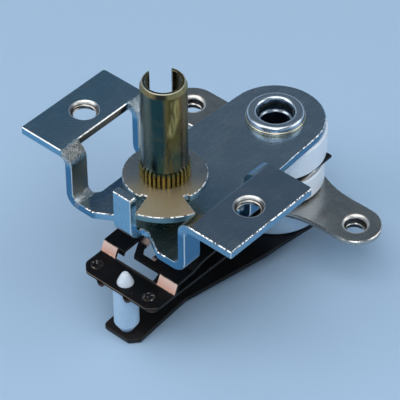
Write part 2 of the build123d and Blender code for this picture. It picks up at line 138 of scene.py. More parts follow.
# %% [markdown]
# ## Small tools for node trees
# Blender materials are graphs. A few short helpers keep the lines below readable: one adds a node
# and fills its sockets, one starts a reusable group with named sockets, one places such a group, and
# the others do sums on values and lay colours over one another.

# %% Helpers that add nodes and groups
def fill(tree, socket, value):
    """Join a link to a socket, or write a plain value into it. Colours are three numbers."""
    if isinstance(value, bpy.types.NodeSocket):
        tree.links.new(value, socket)
    else:
        socket.default_value = (*value, 1) if socket.type == "RGBA" else value


def put(tree, kind, settings=None, **sockets):
    """Add a node. settings are its properties, sockets are values or links for its inputs."""
    node = tree.nodes.new("ShaderNode" + kind)
    for key, value in (settings or {}).items():
        setattr(node, key, value)
    for key, value in sockets.items():
        by_number = key[0] == "n" and key[1:].isdigit()
        fill(tree, node.inputs[int(key[1:]) if by_number else key.replace("_", " ")], value)
    return node


def start_group(name, inputs, outputs):
    """A new shader group. inputs is {name: (kind, value)} and outputs is {name: kind}."""
    tree = bpy.data.node_groups.new(name, "ShaderNodeTree")
    for title, (kind, value) in inputs.items():
        socket = tree.interface.new_socket(title, in_out="INPUT", socket_type="NodeSocket" + kind)
        if value is not None:
            socket.default_value = value
    for title, kind in outputs.items():
        tree.interface.new_socket(title, in_out="OUTPUT", socket_type="NodeSocket" + kind)
    return tree, tree.nodes.new("NodeGroupInput").outputs, tree.nodes.new("NodeGroupOutput").inputs


def place(tree, group, **sockets):
    """Put a finished group into a material and set its named inputs."""
    return put(tree, "Group", {"node_tree": group}, **sockets).outputs


print("node helpers ready")


# %% Helpers that do sums on values
def maths(tree, what, a, b=0.0):
    """One sum on two values."""
    return put(tree, "Math", {"operation": what}, n0=a, n1=b).outputs[0]


def plus(tree, a, b):
    return maths(tree, "ADD", a, b)


def minus(tree, a, b):
    return maths(tree, "SUBTRACT", a, b)


def times(tree, first, *others):
    for other in others:
        first = maths(tree, "MULTIPLY", first, other)
    return first


def larger(tree, a, b):
    return maths(tree, "MAXIMUM", a, b)


def size_of(tree, a):
    """A value without its sign."""
    return maths(tree, "ABSOLUTE", a)


def vectors(tree, what, a, b=(0.0, 0.0, 0.0)):
    """One sum on two vectors."""
    return put(tree, "VectorMath", {"operation": what}, n0=a, n1=b).outputs


def axes(tree, vector):
    """The three parts of a vector."""
    return put(tree, "SeparateXYZ", Vector=vector).outputs


def ramp(tree, value, low, high, low_out=0.0, high_out=1.0):
    """A value stretched from low..high to low_out..high_out and held at the ends."""
    return put(tree, "MapRange", {"interpolation_type": "SMOOTHSTEP"}, Value=value, From_Min=low,
               From_Max=high, To_Min=low_out, To_Max=high_out).outputs["Result"]


def within(tree, value, low, high, soft=0.3):
    """1 between low and high, fading over soft at both ends."""
    rising, falling = ramp(tree, value, low - soft, low + soft), ramp(tree, value, high + soft, high - soft)
    return times(tree, rising, falling)


def cloudy(tree, where, scale, detail, **more):
    """A soft noise between 0 and 1."""
    return put(tree, "TexNoise", Vector=where, Scale=scale, Detail=detail, **more).outputs["Fac"]


def wander(tree, value, clouds, reach):
    """A value that a noise moves to and fro, by reach from end to end."""
    return plus(tree, value, times(tree, minus(tree, clouds, 0.5), reach))


print("sum helpers ready")


# %% Helpers that lay colours over one another
def blend_colours(tree, amount, first, second, how="MIX"):
    """first where amount is 0, second where it is 1."""
    node = tree.nodes.new("ShaderNodeMix")
    node.data_type, node.blend_type = "RGBA", how
    for socket, value in ((node.inputs[0], amount), (node.inputs[6], first), (node.inputs[7], second)):
        fill(tree, socket, value)
    return node.outputs[2]


def layers(tree, base, *coats):
    """Colours laid over a base. A coat is a mask, a colour and, if it isn't mixed in, how it joins."""
    for mask, colour, *how in coats:
        base = blend_colours(tree, mask, base, colour, *how)
    return base


print("colour helpers ready")

# %% [markdown]
# ## Floor, surroundings and lamps
# Plated metal has hardly any colour of its own: it shows what stands around it. The floor is plain
# and pale blue, which the upright faces pick up. The surroundings grow darker with height behind
# the part, so that the level faces of the bracket look darker than its edges, as they do in a
# studio with a dim ceiling. Soft lamps overhead, at both sides and beside the camera draw thin
# lines along the edges. They are large, so that metal that mirrors one stays below white.

# %% Pale floor
floor_height, floor_half = cad_box[0][2] - 0.02 * MM, 2.5
floor_look = {"Base Color": (0.44, 0.61, 0.80), "Roughness": 0.85, "Specular IOR Level": 0.2}
floor_mesh = bpy.data.meshes.new("floor")
floor_mesh.from_pydata([(right * floor_half, back * floor_half, floor_height)
                        for right, back in ((-1, -1), (1, -1), (1, 1), (-1, 1))], [], [(0, 1, 2, 3)])
floor = stand("floor", floor_mesh)
floor_paint = bpy.data.materials.new("pale floor")
floor_paint.use_nodes = True
for title, value in floor_look.items():
    fill(floor_paint.node_tree, floor_paint.node_tree.nodes["Principled BSDF"].inputs[title], value)
floor_mesh.materials.append(floor_paint)
print("floor at", round(floor_height / MM, 2), "mm")

# %% Surroundings that metal reflects
sky_tones = [  # How high a direction points, from level at 0 to straight up at 1, and the colour there
    (0.10, (0.50, 0.62, 0.76)), (0.34, (0.20, 0.27, 0.34)), (0.56, (0.095, 0.135, 0.18)),
    (0.80, (0.11, 0.15, 0.19)), (0.97, (0.30, 0.32, 0.35))]
world = bpy.data.worlds.new("studio")
world.use_nodes = True
bpy.context.scene.world = world
sky = world.node_tree
height_up = axes(sky, sky.nodes.new("ShaderNodeTexCoord").outputs["Generated"])["Z"]
tones = sky.nodes.new("ShaderNodeValToRGB")
sky.links.new(height_up, tones.inputs[0])
stops = tones.color_ramp.elements
stops[0].position, stops[1].position = sky_tones[0][0], sky_tones[-1][0]
for height, _ in sky_tones[1:-1]:
    stops.new(height)
for stop, (_, colour) in zip(stops, sky_tones):
    stop.color = (*colour, 1)
sky.links.new(tones.outputs["Color"], sky.nodes["Background"].inputs["Color"])
print("surroundings:", len(stops), "tones from horizon to zenith")

# %% Soft lamps
lamp_aim = Vector((8, 0, -10)) * MM


def soft_lamp(name, turn, height, distance, size, power):
    """An area lamp aimed at the part from a compass turn and a height, both in degrees."""
    lamp = bpy.data.lights.new(name, "AREA")
    lamp.shape, lamp.size, lamp.size_y = "RECTANGLE", size[0], size[1]
    lamp.energy = power
    away = direction(radians(turn), radians(height))
    holder = stand(name, lamp)
    holder.location = away * distance + lamp_aim
    holder.rotation_euler = away.to_track_quat("Z", "Y").to_euler()
    return holder


lamps = [  # Turn and height in degrees, distance and size in metres, power in watts
    soft_lamp("overhead lamp", -75, 74, 0.50, (0.56, 0.50), 1.35),
    soft_lamp("left lamp", -126, 33, 0.55, (0.38, 0.42), 0.75),
    soft_lamp("right lamp", 38, 29, 0.55, (0.38, 0.42), 0.75),
    soft_lamp("front lamp", -50, 50, 0.60, (0.20, 0.20), 0.30),
]
bpy.context.scene.view_settings.view_transform = "Standard"
print("lamps:", [lamp.name for lamp in lamps])

# %% [markdown]
# ## Effects that several finishes share
# Real surfaces differ in finish but share a few effects: rolled sheet has a fine grain, edges wear
# bright, fingers leave dull patches, and every surface picks up specks. Each effect is one node
# group here, built once, with inputs for its scale. A group is fed the place on the piece in
# millimetres, so that a scale reads as so many per millimetre on every piece.

# %% Group: worn edges
tree, got, give = start_group(
    "worn edges", {"Radius": ("Float", 0.00015), "Place": ("Vector", None), "Breaks": ("Float", 2.0)},
    {"Mask": "Float"})
rounded = put(tree, "Bevel", {"samples": 6}, Radius=got["Radius"]).outputs["Normal"]
surface = tree.nodes.new("ShaderNodeNewGeometry").outputs["Normal"]
closeness = vectors(tree, "DOT_PRODUCT", rounded, surface)["Value"]
bend = ramp(tree, closeness, 0.995, 0.90)
breaks = put(tree, "TexNoise", Vector=got["Place"], Scale=got["Breaks"], Detail=3.0).outputs["Fac"]
tree.links.new(times(tree, bend, ramp(tree, breaks, 0.30, 0.62, 0.45, 1.0)), give["Mask"])
worn_edges = tree
print("built", worn_edges.name)

# %% [markdown]
# ### Chamfers: wear and painted highlights
# A chamfer that mesh code cut at 45 degrees can be found by its slope alone, without the slow Bevel
# node. The group gives the whole line of the chamfer, the beads along it, the stretches that look away
# from the camera, and the upright corners that point to the camera or straight away from it. The
# finishes paint the beads bright, partly as plating rubbed off and partly as a painted highlight, and
# the bracket paints the stretches that look away with a blue reflection and the corners with a painted
# highlight. It also gives a normal that is flat on the chamfer, so that the line mirrors one lamp
# evenly. Slopes are the upward part of the normal, from 0 on an upright face to 1 on a level one.

# %% Group: chamfer wear and highlights
chamfer_slopes, upright_slope, away_share, corner_share = (0.60, 0.80), 0.25, 0.45, 0.35
tree, got, give = start_group(
    "chamfer wear and highlights", {"Place": ("Vector", None), "Beads": ("Float", 3.0), "Keep Off": ("Float", 0.0)},
    {"Mask": "Float", "Line": "Float", "Away": "Float", "Corner": "Float", "Normal": "Vector"})
geometry = tree.nodes.new("ShaderNodeNewGeometry").outputs
true_x, true_y, true_z = axes(tree, geometry["True Normal"])
slope = size_of(tree, true_z)
corner = times(tree, maths(tree, "LESS_THAN", slope, upright_slope),
               maths(tree, "GREATER_THAN", times(tree, true_x, true_y), corner_share))
line = times(tree, maths(tree, "GREATER_THAN", slope, chamfer_slopes[0]),
             maths(tree, "LESS_THAN", slope, chamfer_slopes[1]), minus(tree, 1.0, got["Keep Off"]))
beads = cloudy(tree, got["Place"], got["Beads"], 1.5)
away = maths(tree, "GREATER_THAN", larger(tree, true_x, true_y), away_share)
flat = tree.nodes.new("ShaderNodeMix")
flat.data_type = "VECTOR"
for socket, value in ((flat.inputs[0], line), (flat.inputs[4], geometry["Normal"]),
                      (flat.inputs[5], geometry["True Normal"])):
    tree.links.new(value, socket)
for title, value in {"Corner": corner, "Line": line, "Away": times(tree, line, away),
                     "Mask": times(tree, line, ramp(tree, beads, 0.43, 0.52)),
                     "Normal": flat.outputs[1]}.items():
    tree.links.new(value, give[title])
chamfer_wear_and_highlights = tree
print("built", chamfer_wear_and_highlights.name)

# %% Group: tapped hole
tree, got, give = start_group(
    "tapped hole",
    {"Place": ("Vector", None), "Centre": ("Vector", (0.0, 0.0, 0.0)), "Wall": ("Float", 1.65)},
    {"Root": "Float", "Crest": "Float", "Distance": "Float"})
offset = vectors(tree, "SUBTRACT", got["Place"], got["Centre"])[0]
level = vectors(tree, "MULTIPLY", offset, (1.0, 1.0, 0.0))[0]
from_axis = vectors(tree, "LENGTH", level)["Value"]
depth = minus(tree, got["Wall"], from_axis)
tree.links.new(ramp(tree, depth, -0.05, -0.02), give["Root"])
tree.links.new(ramp(tree, depth, 0.05, 0.13), give["Crest"])
tree.links.new(from_axis, give["Distance"])
tapped_hole = tree
print("built", tapped_hole.name)

# %% Group: rolled grain
lines_share, clouds_share = 0.65, 0.35
tree, got, give = start_group(
    "rolled grain", {"Place": ("Vector", None), "Stretch": ("Vector", (1.0, 12.0, 12.0)),
                     "Fineness": ("Float", 1.0)},
    {"Shade": "Float", "Height": "Float"})
stretched = vectors(tree, "MULTIPLY", got["Place"], got["Stretch"])[0]
lines = cloudy(tree, stretched, got["Fineness"], 4.0, Roughness=0.6)
clouds = cloudy(tree, got["Place"], 0.35, 2.0)
tree.links.new(plus(tree, times(tree, ramp(tree, lines, 0.3, 0.7), lines_share),
                    times(tree, ramp(tree, clouds, 0.35, 0.65), clouds_share)), give["Shade"])
tree.links.new(lines, give["Height"])
rolled_grain = tree
print("built", rolled_grain.name)

# %% Group: handling marks
clean_threshold, lowered_by_amount = 0.78, 0.4
tree, got, give = start_group(
    "handling marks", {"Place": ("Vector", None), "Size": ("Float", 0.4), "Amount": ("Float", 0.5)},
    {"Mask": "Float"})
blotches = cloudy(tree, got["Place"], got["Size"], 5.0, Roughness=0.65, Distortion=0.6)
threshold = minus(tree, clean_threshold, times(tree, got["Amount"], lowered_by_amount))
tree.links.new(ramp(tree, minus(tree, blotches, threshold), -0.10, 0.12), give["Mask"])
handling_marks = tree
print("built", handling_marks.name)

# %% Group: specks
empty_share = 0.55  # Of the cells that get no speck
tree, got, give = start_group(
    "specks", {"Place": ("Vector", None), "Per mm": ("Float", 1.0), "Size": ("Float", 0.12)},
    {"Mask": "Float"})
cells = put(tree, "TexVoronoi", {"feature": "F1"}, Vector=got["Place"], Scale=got["Per mm"],
            Randomness=1.0)
chosen = put(tree, "SeparateColor", Color=cells.outputs["Color"]).outputs["Red"]
near = maths(tree, "LESS_THAN", cells.outputs["Distance"], times(tree, got["Size"], chosen))
tree.links.new(times(tree, near, maths(tree, "GREATER_THAN", chosen, empty_share)), give["Mask"])
specks = tree
print("built", specks.name)

# %% Group: hairline scratches
bow, drawn_out, hair_width = (0.8, 0.8, 0.8), (0.12, 6.0, 1.0), 0.012
tree, got, give = start_group(
    "hairline scratches", {"Place": ("Vector", None), "Turn": ("Float", 0.6), "Fineness": ("Float", 1.0)},
    {"Mask": "Float"})
turned = put(tree, "VectorRotate", {"rotation_type": "Z_AXIS"}, Vector=got["Place"],
             Angle=got["Turn"]).outputs[0]
warped = put(tree, "TexNoise", Vector=turned, Scale=0.25, Detail=1.0).outputs["Color"]
bent = put(tree, "VectorMath", {"operation": "MULTIPLY_ADD"}, n0=warped, n1=bow, n2=turned).outputs[0]
hairs = cloudy(tree, vectors(tree, "MULTIPLY", bent, drawn_out)[0], got["Fineness"], 1.0)
tree.links.new(ramp(tree, size_of(tree, minus(tree, hairs, 0.5)), hair_width, 0.0), give["Mask"])
scratches = tree
print("built", scratches.name)

# %% [markdown]
# ## Finishes
# Every finish starts the same way: a fresh material, its Principled shader and the place on the
# piece in millimetres. After that each one is built from the shared effects with its own values.
# Colours are laid over one another like coats of paint, each through a mask that says where it is.
# Values that are the same all over a piece are set straight on the shader's own sockets.

# %% Helpers that start and feed a finish
def start_finish(name, metallic=0.0, roughness=0.5):
    material = bpy.data.materials.new(name)
    material.use_nodes = True
    tree = material.node_tree
    shader = tree.nodes["Principled BSDF"]
    shader.inputs["Metallic"].default_value = metallic
    shader.inputs["Roughness"].default_value = roughness
    where = tree.nodes.new("ShaderNodeTexCoord").outputs["Object"]
    place_mm = put(tree, "VectorMath", {"operation": "SCALE"}, n0=where, Scale=1 / MM).outputs[0]
    return material, tree, shader, place_mm


def facing(tree):
    """The three parts of the way that a face looks."""
    return axes(tree, tree.nodes.new("ShaderNodeTexCoord").outputs["Normal"])


def roughen(tree, shader, base, *parts):
    """Roughness from a base and a share of each mask."""
    for mask, share in parts:
        base = plus(tree, base, times(tree, mask, share))
    tree.links.new(base, shader.inputs["Roughness"])


def along_grain(tree, grain, smooth, dull):
    """A value that follows the shade of the grain."""
    return ramp(tree, grain["Shade"], 0.0, 1.0, smooth, dull)


def bumps(tree, shader, height, depth_mm, strength=1.0, under=None):
    """Feed a height into the shader's normal."""
    bump = put(tree, "Bump", Height=height, Distance=depth_mm * MM, Strength=strength)
    if under is not None:
        tree.links.new(under, bump.inputs["Normal"])
    tree.links.new(bump.outputs["Normal"], shader.inputs["Normal"])
    return bump.outputs["Normal"]


finishes = {}
print("finish helpers ready")

# %% [markdown]
# ### Nickel plate on the folded bracket
# The bracket is one sheet of steel, punched, folded and then nickel plated. The plating is a dark,
# smooth mirror. Along punched edges a thin bright line comes and goes: partly the burr rubbed off,
# partly a painted highlight. Where a press folded the legs of one ear, the steel stretched and the
# surface turned into fine crinkles, so those places scatter light and look pale. Upright faces mirror
# the pale blue floor, and a painted blue reflection, laid on by the way a face looks, deepens that blue.

# %% Bracket finish: holes, legs and bends
countersink_ring, lip_ring = (1.67, 1.94), (1.95, 2.02)
ear_bend_y, ear_bend_z = (9.0, 10.7), (-1.4, 0.3)
plate_bend_y, plate_bend_z = (7.9, 8.7), (-8.4, -7.0)
upper_fold_y, lower_fold_y, lower_fold_z = (8.6, 10.9), (6.9, 9.2), (-9.4, -7.3)
nickel, tree, shader, place_mm = start_finish("nickel plate", metallic=1.0)
x, y, z = axes(tree, place_mm)
side = size_of(tree, y)
folded = put(tree, "CombineXYZ", X=x, Y=side, Z=z).outputs[0]
hole = place(tree, tapped_hole, Place=folded, Centre=(0.0, panel_hole_y, 0.0), Wall=panel_hole_wall)
countersink = times(tree, within(tree, hole["Distance"], *countersink_ring, 0.02),
                    ramp(tree, z, -0.45, -0.40))
hole_lip = times(tree, within(tree, hole["Distance"], *lip_ring, 0.015), ramp(tree, z, -0.12, -0.06))
ragged = cloudy(tree, place_mm, 1.8, 3.0)
ragged_y, ragged_z = wander(tree, y, ragged, 0.9), wander(tree, z, ragged, 0.9)
on_legs = ramp(tree, size_of(tree, x), 4.3, 4.7)
top_bend = times(tree, within(tree, ragged_y, *ear_bend_y, 0.25), within(tree, ragged_z, *ear_bend_z, 0.7),
                 on_legs, ramp(tree, x, -4.0, 4.0, 1.0, 0.45))
low_bend = times(tree, within(tree, ragged_y, *plate_bend_y, 0.15),
                 within(tree, ragged_z, *plate_bend_z, 0.25))
bends = larger(tree, top_bend, times(tree, low_bend, 0.4))
upper_folds = times(tree, within(tree, side, *upper_fold_y, 0.05), on_legs)
lower_folds = times(tree, within(tree, side, *lower_fold_y, 0.05), within(tree, z, *lower_fold_z, 0.05))
folds = larger(tree, upper_folds, lower_folds)
print("bracket holes, legs and bends ready")

# %% Bracket finish: faces by the way they look
away_x, away_y = 0.747, 0.664  # The level direction away from the camera
leg_y, leg_z, rear_leg_y = (8.7, 10.4), (-7.6, -1.8), (-11.0, -8.5)
window_edge_y, plate_top_z = (10.4, 10.8), (-7.6, -7.4)
_, face_y, face_z = facing(tree)
broadside = times(tree, ramp(tree, size_of(tree, face_y), 0.5, 0.8), on_legs)
leg_face = times(tree, within(tree, y, *leg_y, 0.2), within(tree, z, *leg_z, 0.8), broadside)
upright = times(tree, ramp(tree, size_of(tree, face_z), 0.5, 0.2), minus(tree, 1.0, leg_face))
painted_shade_beneath = times(tree, ramp(tree, face_z, -0.4, -0.7), ramp(tree, side, 9.2, 9.6))
painted_shade_window_edge = times(tree, within(tree, side, *window_edge_y, 0.05), minus(tree, 1.0, on_legs), upright)
painted_blue_leg_sides = times(tree, ramp(tree, side, 5.0, 5.6), ramp(tree, z, -1.4, -2.6), upright)
painted_blue_rear_bend = times(tree, within(tree, y, *rear_leg_y, 0.1),
                  ramp(tree, times(tree, face_y, on_legs), 0.2, 0.5))
painted_blue_rear_bend = times(tree, ramp(tree, x, 3.0, 4.0), ramp(tree, z, -2.2, -1.8), painted_blue_rear_bend)
painted_shade_by_shaft = times(tree, ramp(tree, x, 11.0, 3.0), ramp(tree, side, 9.0, 7.5),
                 within(tree, z, *plate_top_z, 0.02))
past_centre = minus(tree, y, times(tree, maths(tree, "SIGN", y), panel_hole_y))
far_side = plus(tree, times(tree, x, away_x), times(tree, past_centre, away_y))
far_countersink_highlight = times(tree, countersink, ramp(tree, far_side, 0.9, 1.6))
print("bracket faces ready")

# %% Bracket finish: colours
grain = place(tree, rolled_grain, Place=place_mm, Stretch=(0.5, 4.0, 4.0), Fineness=0.8)
marks = place(tree, handling_marks, Place=place_mm, Size=0.16, Amount=0.5)["Mask"]
hair = place(tree, scratches, Place=place_mm, Turn=0.9, Fineness=0.7)["Mask"]
keep_off = larger(tree, folds, ramp(tree, hole["Distance"], 2.12, 2.06))
edges = place(tree, chamfer_wear_and_highlights, Place=place_mm, Beads=3.4, Keep_Off=keep_off)
corner_highlight = times(tree, edges["Corner"], ramp(tree, z, -7.45, -7.40))
left_ear_highlight = times(tree, edges["Line"], ramp(tree, y, 8.5, 10.5, 0.0, 0.85))
wrinkles = cloudy(tree, place_mm, 3.0, 2.5, Roughness=0.6, Distortion=0.8)
crinkle = ramp(tree, size_of(tree, minus(tree, wrinkles, 0.5)), 0.12, 0.0)
crumpled = blend_colours(tree, crinkle, (0.17, 0.155, 0.125), (0.90, 0.85, 0.76))
plated = layers(
    tree, (0.46, 0.545, 0.615),
    (grain["Shade"], (0.51, 0.60, 0.67)),
    # Painted reflection: the left ear is tinted bluer than the plate. The right ear is darker.
    (ramp(tree, y, 5.0, 16.0), (0.31, 0.48, 0.59)),
    (ramp(tree, y, -7.0, -11.0), (0.37, 0.45, 0.53)),
    # Painted shade on the plate's top next to the shaft, under the washer.
    (painted_shade_by_shaft, (0.62, 0.74, 0.80), "MULTIPLY"),
    (times(tree, marks, 0.3), (0.38, 0.40, 0.42)),
    (times(tree, leg_face, 0.8), (0.58, 0.50, 0.40)),
    # Painted blue reflection: upright faces, the sides of the legs and the rear bend are tinted towards the
    # floor's blue.
    (upright, (0.58, 0.86, 0.98), "MULTIPLY"),
    (painted_blue_leg_sides, (0.32, 0.52, 0.64), "MULTIPLY"),
    (painted_blue_rear_bend, (0.30, 0.62, 0.80), "MULTIPLY"),
    # Painted shade: the upright edge faces of the windows are painted near black.
    (painted_shade_window_edge, (0.085, 0.07, 0.055)),
    # Painted shade on faces that look down under the ears.
    (painted_shade_beneath, (0.30, 0.32, 0.36), "MULTIPLY"),
    (times(tree, bends, 0.9), crumpled),
    # Painted shade in the holes: dark countersinks, walls and thread roots. Painted highlights on the far
    # side of each countersink, which faces the camera, and on the thread crests. The lips are pale.
    (countersink, (0.16, 0.17, 0.19)),
    (far_countersink_highlight, (0.85, 0.83, 0.78)),
    (hole["Root"], (0.10, 0.09, 0.08)),
    (hole["Crest"], (0.80, 0.74, 0.66)),
    (hole_lip, (0.85, 0.84, 0.82)),
    # The chamfer line is painted dark. Its beads, and the whole line on the left ear, are near white: partly
    # rubbed plating, partly a painted highlight. Chamfers that look away from the camera get a painted blue
    # reflection, and upright corners above the plate a painted warm highlight.
    (edges["Line"], (0.10, 0.115, 0.13)),
    (larger(tree, edges["Mask"], left_ear_highlight), (0.98, 0.97, 0.94)),
    (edges["Away"], (0.14, 0.40, 0.52)),
    (times(tree, corner_highlight, 0.7), (1.0, 0.93, 0.84)))
tree.links.new(plated, shader.inputs["Base Color"])
print("bracket colours ready")

# %% Bracket finish: gloss and relief
roughen(tree, shader, along_grain(tree, grain, 0.20, 0.26), (marks, 0.06), (bends, 0.14), (leg_face, 0.12),
        (larger(tree, countersink, hole_lip), 0.20), (hole["Root"], 0.15), (edges["Line"], 0.10),
        (hair, 0.05))
waves = bumps(tree, shader, grain["Height"], 0.006, 0.5, under=edges["Normal"])
beaded = cloudy(tree, place_mm, 3.2, 1.0)
relief = plus(tree, times(tree, crinkle, bends), times(tree, beaded, edges["Line"]))
bumps(tree, shader, relief, 0.12, 0.8, under=waves)
finishes["plated_steel"] = nickel
print("built", nickel.name)

# %% [markdown]
# ### Satin nickel on the stop washer
# The washer has a thinner plating over a tumbled blank: no mirror, but a soft sheen with faint
# streaks. The finger meets the tab each time the shaft reaches its stop. Towards the finger and on
# faces that look down, the colour turns a warm brass and the sheen duller. Upright faces get a
# painted blue reflection.

# %% Stop washer finish
finger_x, finger_y = -0.743, -0.669  # The way from the shaft to the finger
satin, tree, shader, place_mm = start_finish("satin nickel", metallic=1.0)
x, y, _ = axes(tree, place_mm)
face_z = facing(tree)[2]
upright = ramp(tree, size_of(tree, face_z), 0.5, 0.2)
grain = place(tree, rolled_grain, Place=place_mm, Stretch=(3.0, 0.8, 3.0), Fineness=0.9)
marks = place(tree, handling_marks, Place=place_mm, Size=0.35, Amount=0.5)["Mask"]
edges = place(tree, chamfer_wear_and_highlights, Place=place_mm, Beads=2.8)
dents = place(tree, specks, Place=place_mm, Per_mm=0.8, Size=0.16)["Mask"]
towards = plus(tree, times(tree, x, finger_x), times(tree, y, finger_y))
warm_side = larger(tree, ramp(tree, plus(tree, towards, times(tree, marks, 1.2)), -1.0, 5.5),
                   ramp(tree, face_z, -0.3, -0.6))
tumbled = layers(
    tree, (0.46, 0.48, 0.49),
    (warm_side, (0.85, 0.68, 0.45)),
    (times(tree, grain["Shade"], 0.3), (0.66, 0.62, 0.55)),
    (times(tree, marks, 0.25), (0.46, 0.43, 0.38)),
    # Painted blue reflection on upright faces.
    (upright, (0.26, 0.48, 0.72), "MULTIPLY"),
    # Dark chamfer line with bright beads: partly rubbed plating, partly a painted highlight.
    (edges["Line"], (0.12, 0.13, 0.13)),
    (edges["Mask"], (0.98, 0.96, 0.91)))
tree.links.new(tumbled, shader.inputs["Base Color"])
roughen(tree, shader, along_grain(tree, grain, 0.26, 0.31), (warm_side, 0.17))
streaks = bumps(tree, shader, grain["Height"], 0.008, 0.5, under=edges["Normal"])
bumps(tree, shader, dents, -0.015, 0.35, under=streaks)
finishes["satin_nickel"] = satin
print("built", satin.name)

# %% [markdown]
# ### Bright zinc on the hollow rivet and its washers
# Zinc plating is bluish and bright, and its flat faces are as dark a mirror as the nickel. The
# press that rolled the rivet over left faint rings. The washers under it went through another bath
# and are warmer.

# %% Zinc finish
upper_washer_z, lower_washer_z = (-7.52, -6.99), (-24.3, -23.3)
zinc, tree, shader, place_mm = start_finish("bright zinc", metallic=1.0)
x, y, z = axes(tree, place_mm)
from_rivet = put(tree, "CombineXYZ", X=minus(tree, x, rivet_x), Y=y).outputs[0]
out = vectors(tree, "LENGTH", from_rivet)["Value"]
rings = put(tree, "TexNoise", {"noise_dimensions": "1D"}, W=out, Scale=5.0, Detail=2.0).outputs["Fac"]
marks = place(tree, handling_marks, Place=place_mm, Size=0.5, Amount=0.4)["Mask"]
edges = place(tree, worn_edges, Place=place_mm, Radius=0.12 * MM, Breaks=2.0)["Mask"]
washers = larger(tree, within(tree, z, *upper_washer_z, 0.02), within(tree, z, *lower_washer_z, 0.02))
upright = ramp(tree, size_of(tree, facing(tree)[2]), 0.55, 0.25)
bluish = layers(
    tree, (0.56, 0.63, 0.70),
    (rings, (0.70, 0.76, 0.81)),
    (washers, (0.70, 0.62, 0.48)),
    (times(tree, marks, 0.35), (0.36, 0.39, 0.42)),
    # Painted blue reflection: upright faces are tinted towards the floor's blue.
    (upright, (0.50, 0.62, 0.74), "MULTIPLY"),
    (times(tree, edges, 0.6), (0.92, 0.93, 0.94)))
tree.links.new(bluish, shader.inputs["Base Color"])
roughen(tree, shader, ramp(tree, rings, 0.3, 0.7, 0.20, 0.27), (marks, 0.08), (edges, 0.10))
bumps(tree, shader, rings, 0.012, 0.5)
finishes["zinc_steel"] = zinc
print("built", zinc.name)

# %% [markdown]
# ### Aged brass and painted light on the shaft
# The shaft is turned from drawn brass rod. Its bands are painted light, placed by where a point lies
# across the camera's view: a painted dark teal reflection left of the middle and low down, a painted
# gold highlight streak right of the middle and a painted brown reflection at the right edge. The bands
# run along the shaft and hardly change with height. Rubbed rims and the crests of the knurl stay bright.

# %% Shaft finish: where things are
across_view = (away_y, -away_x, 0)
dark_side, gold_side, brown_side = (-0.58, 0.04), (0.32, 0.60), (0.66, 0.90)  # Across the view, from -1 to 1
knurl_z, rim_chamfer_z, streak_z = (-2.9, -0.3), (11.77, 12.44), (5.8, 11.3)
brass, tree, shader, place_mm = start_finish("aged brass", metallic=1.0)
x, y, z = axes(tree, place_mm)
flat_place = put(tree, "CombineXYZ", X=x, Y=y).outputs[0]
around = vectors(tree, "NORMALIZE", flat_place)[0]
out = vectors(tree, "LENGTH", flat_place)["Value"]
along = put(tree, "CombineXYZ", Z=times(tree, z, 0.05)).outputs[0]
streak_place = vectors(tree, "ADD", around, along)[0]
broad, fine = cloudy(tree, streak_place, 1.3, 2.0), cloudy(tree, streak_place, 11.0, 3.0)
# Where a point lies across the camera's view, from -1 at the left to 1 at the right. The painted light below
# goes by it.
sideways = vectors(tree, "DOT_PRODUCT", around, across_view)["Value"]
wavy = wander(tree, wander(tree, sideways, broad, 0.35), fine, 0.12)
painted_dark_reflection = times(tree, ramp(tree, broad, 0.25, 0.75, 0.86, 1.0), within(tree, wavy, *dark_side, 0.12))
low_painted_reflection = times(tree, ramp(tree, z, 5.5, 1.5), ramp(tree, fine, 0.35, 0.65, 0.35, 0.75))
painted_brown_reflection = times(tree, within(tree, wavy, *brown_side, 0.07), ramp(tree, fine, 0.30, 0.60, 0.55, 0.95))
leaning = plus(tree, wavy, ramp(tree, z, 5.5, 9.0, 0.18, 0.0))
highlight_zone = times(tree, within(tree, leaning, *gold_side, 0.07), within(tree, z, *streak_z, 0.6))
painted_gold_highlight = times(tree, highlight_zone, ramp(tree, fine, 0.35, 0.6, 0.3, 1.0))
on_knurl = within(tree, z, *knurl_z, 0.15)
crests = times(tree, on_knurl, ramp(tree, out, 3.02, 3.24))
cuts = times(tree, on_knurl, ramp(tree, out, 3.16, 3.04))
inside = times(tree, ramp(tree, out, 2.40, 2.32), ramp(tree, z, 12.48, 12.44))
chamfer = times(tree, within(tree, z, *rim_chamfer_z, 0.01), ramp(tree, out, 2.50, 2.60))
rim = times(tree, ramp(tree, z, 12.36, 12.42), within(tree, out, 2.60, 2.80, 0.03))
print("shaft zones ready")

# %% Shaft finish: colours and gloss
marks = place(tree, handling_marks, Place=place_mm, Size=0.5, Amount=0.45)["Mask"]
edges = place(tree, worn_edges, Place=place_mm, Radius=0.10 * MM, Breaks=2.0)["Mask"]
worn = times(tree, edges, ramp(tree, z, 0.0, 0.5))
bright_rim = larger(tree, rim, times(tree, worn, 0.7))
# The rim chamfer is painted dark at the left and gold at the right across the view: painted light.
chamfer_painted_light = layers(
    tree, (0.36, 0.25, 0.11),
    (ramp(tree, wavy, -0.50, -0.25), (0.045, 0.040, 0.028)),
    (ramp(tree, wavy, 0.05, 0.30), (0.34, 0.27, 0.12)))
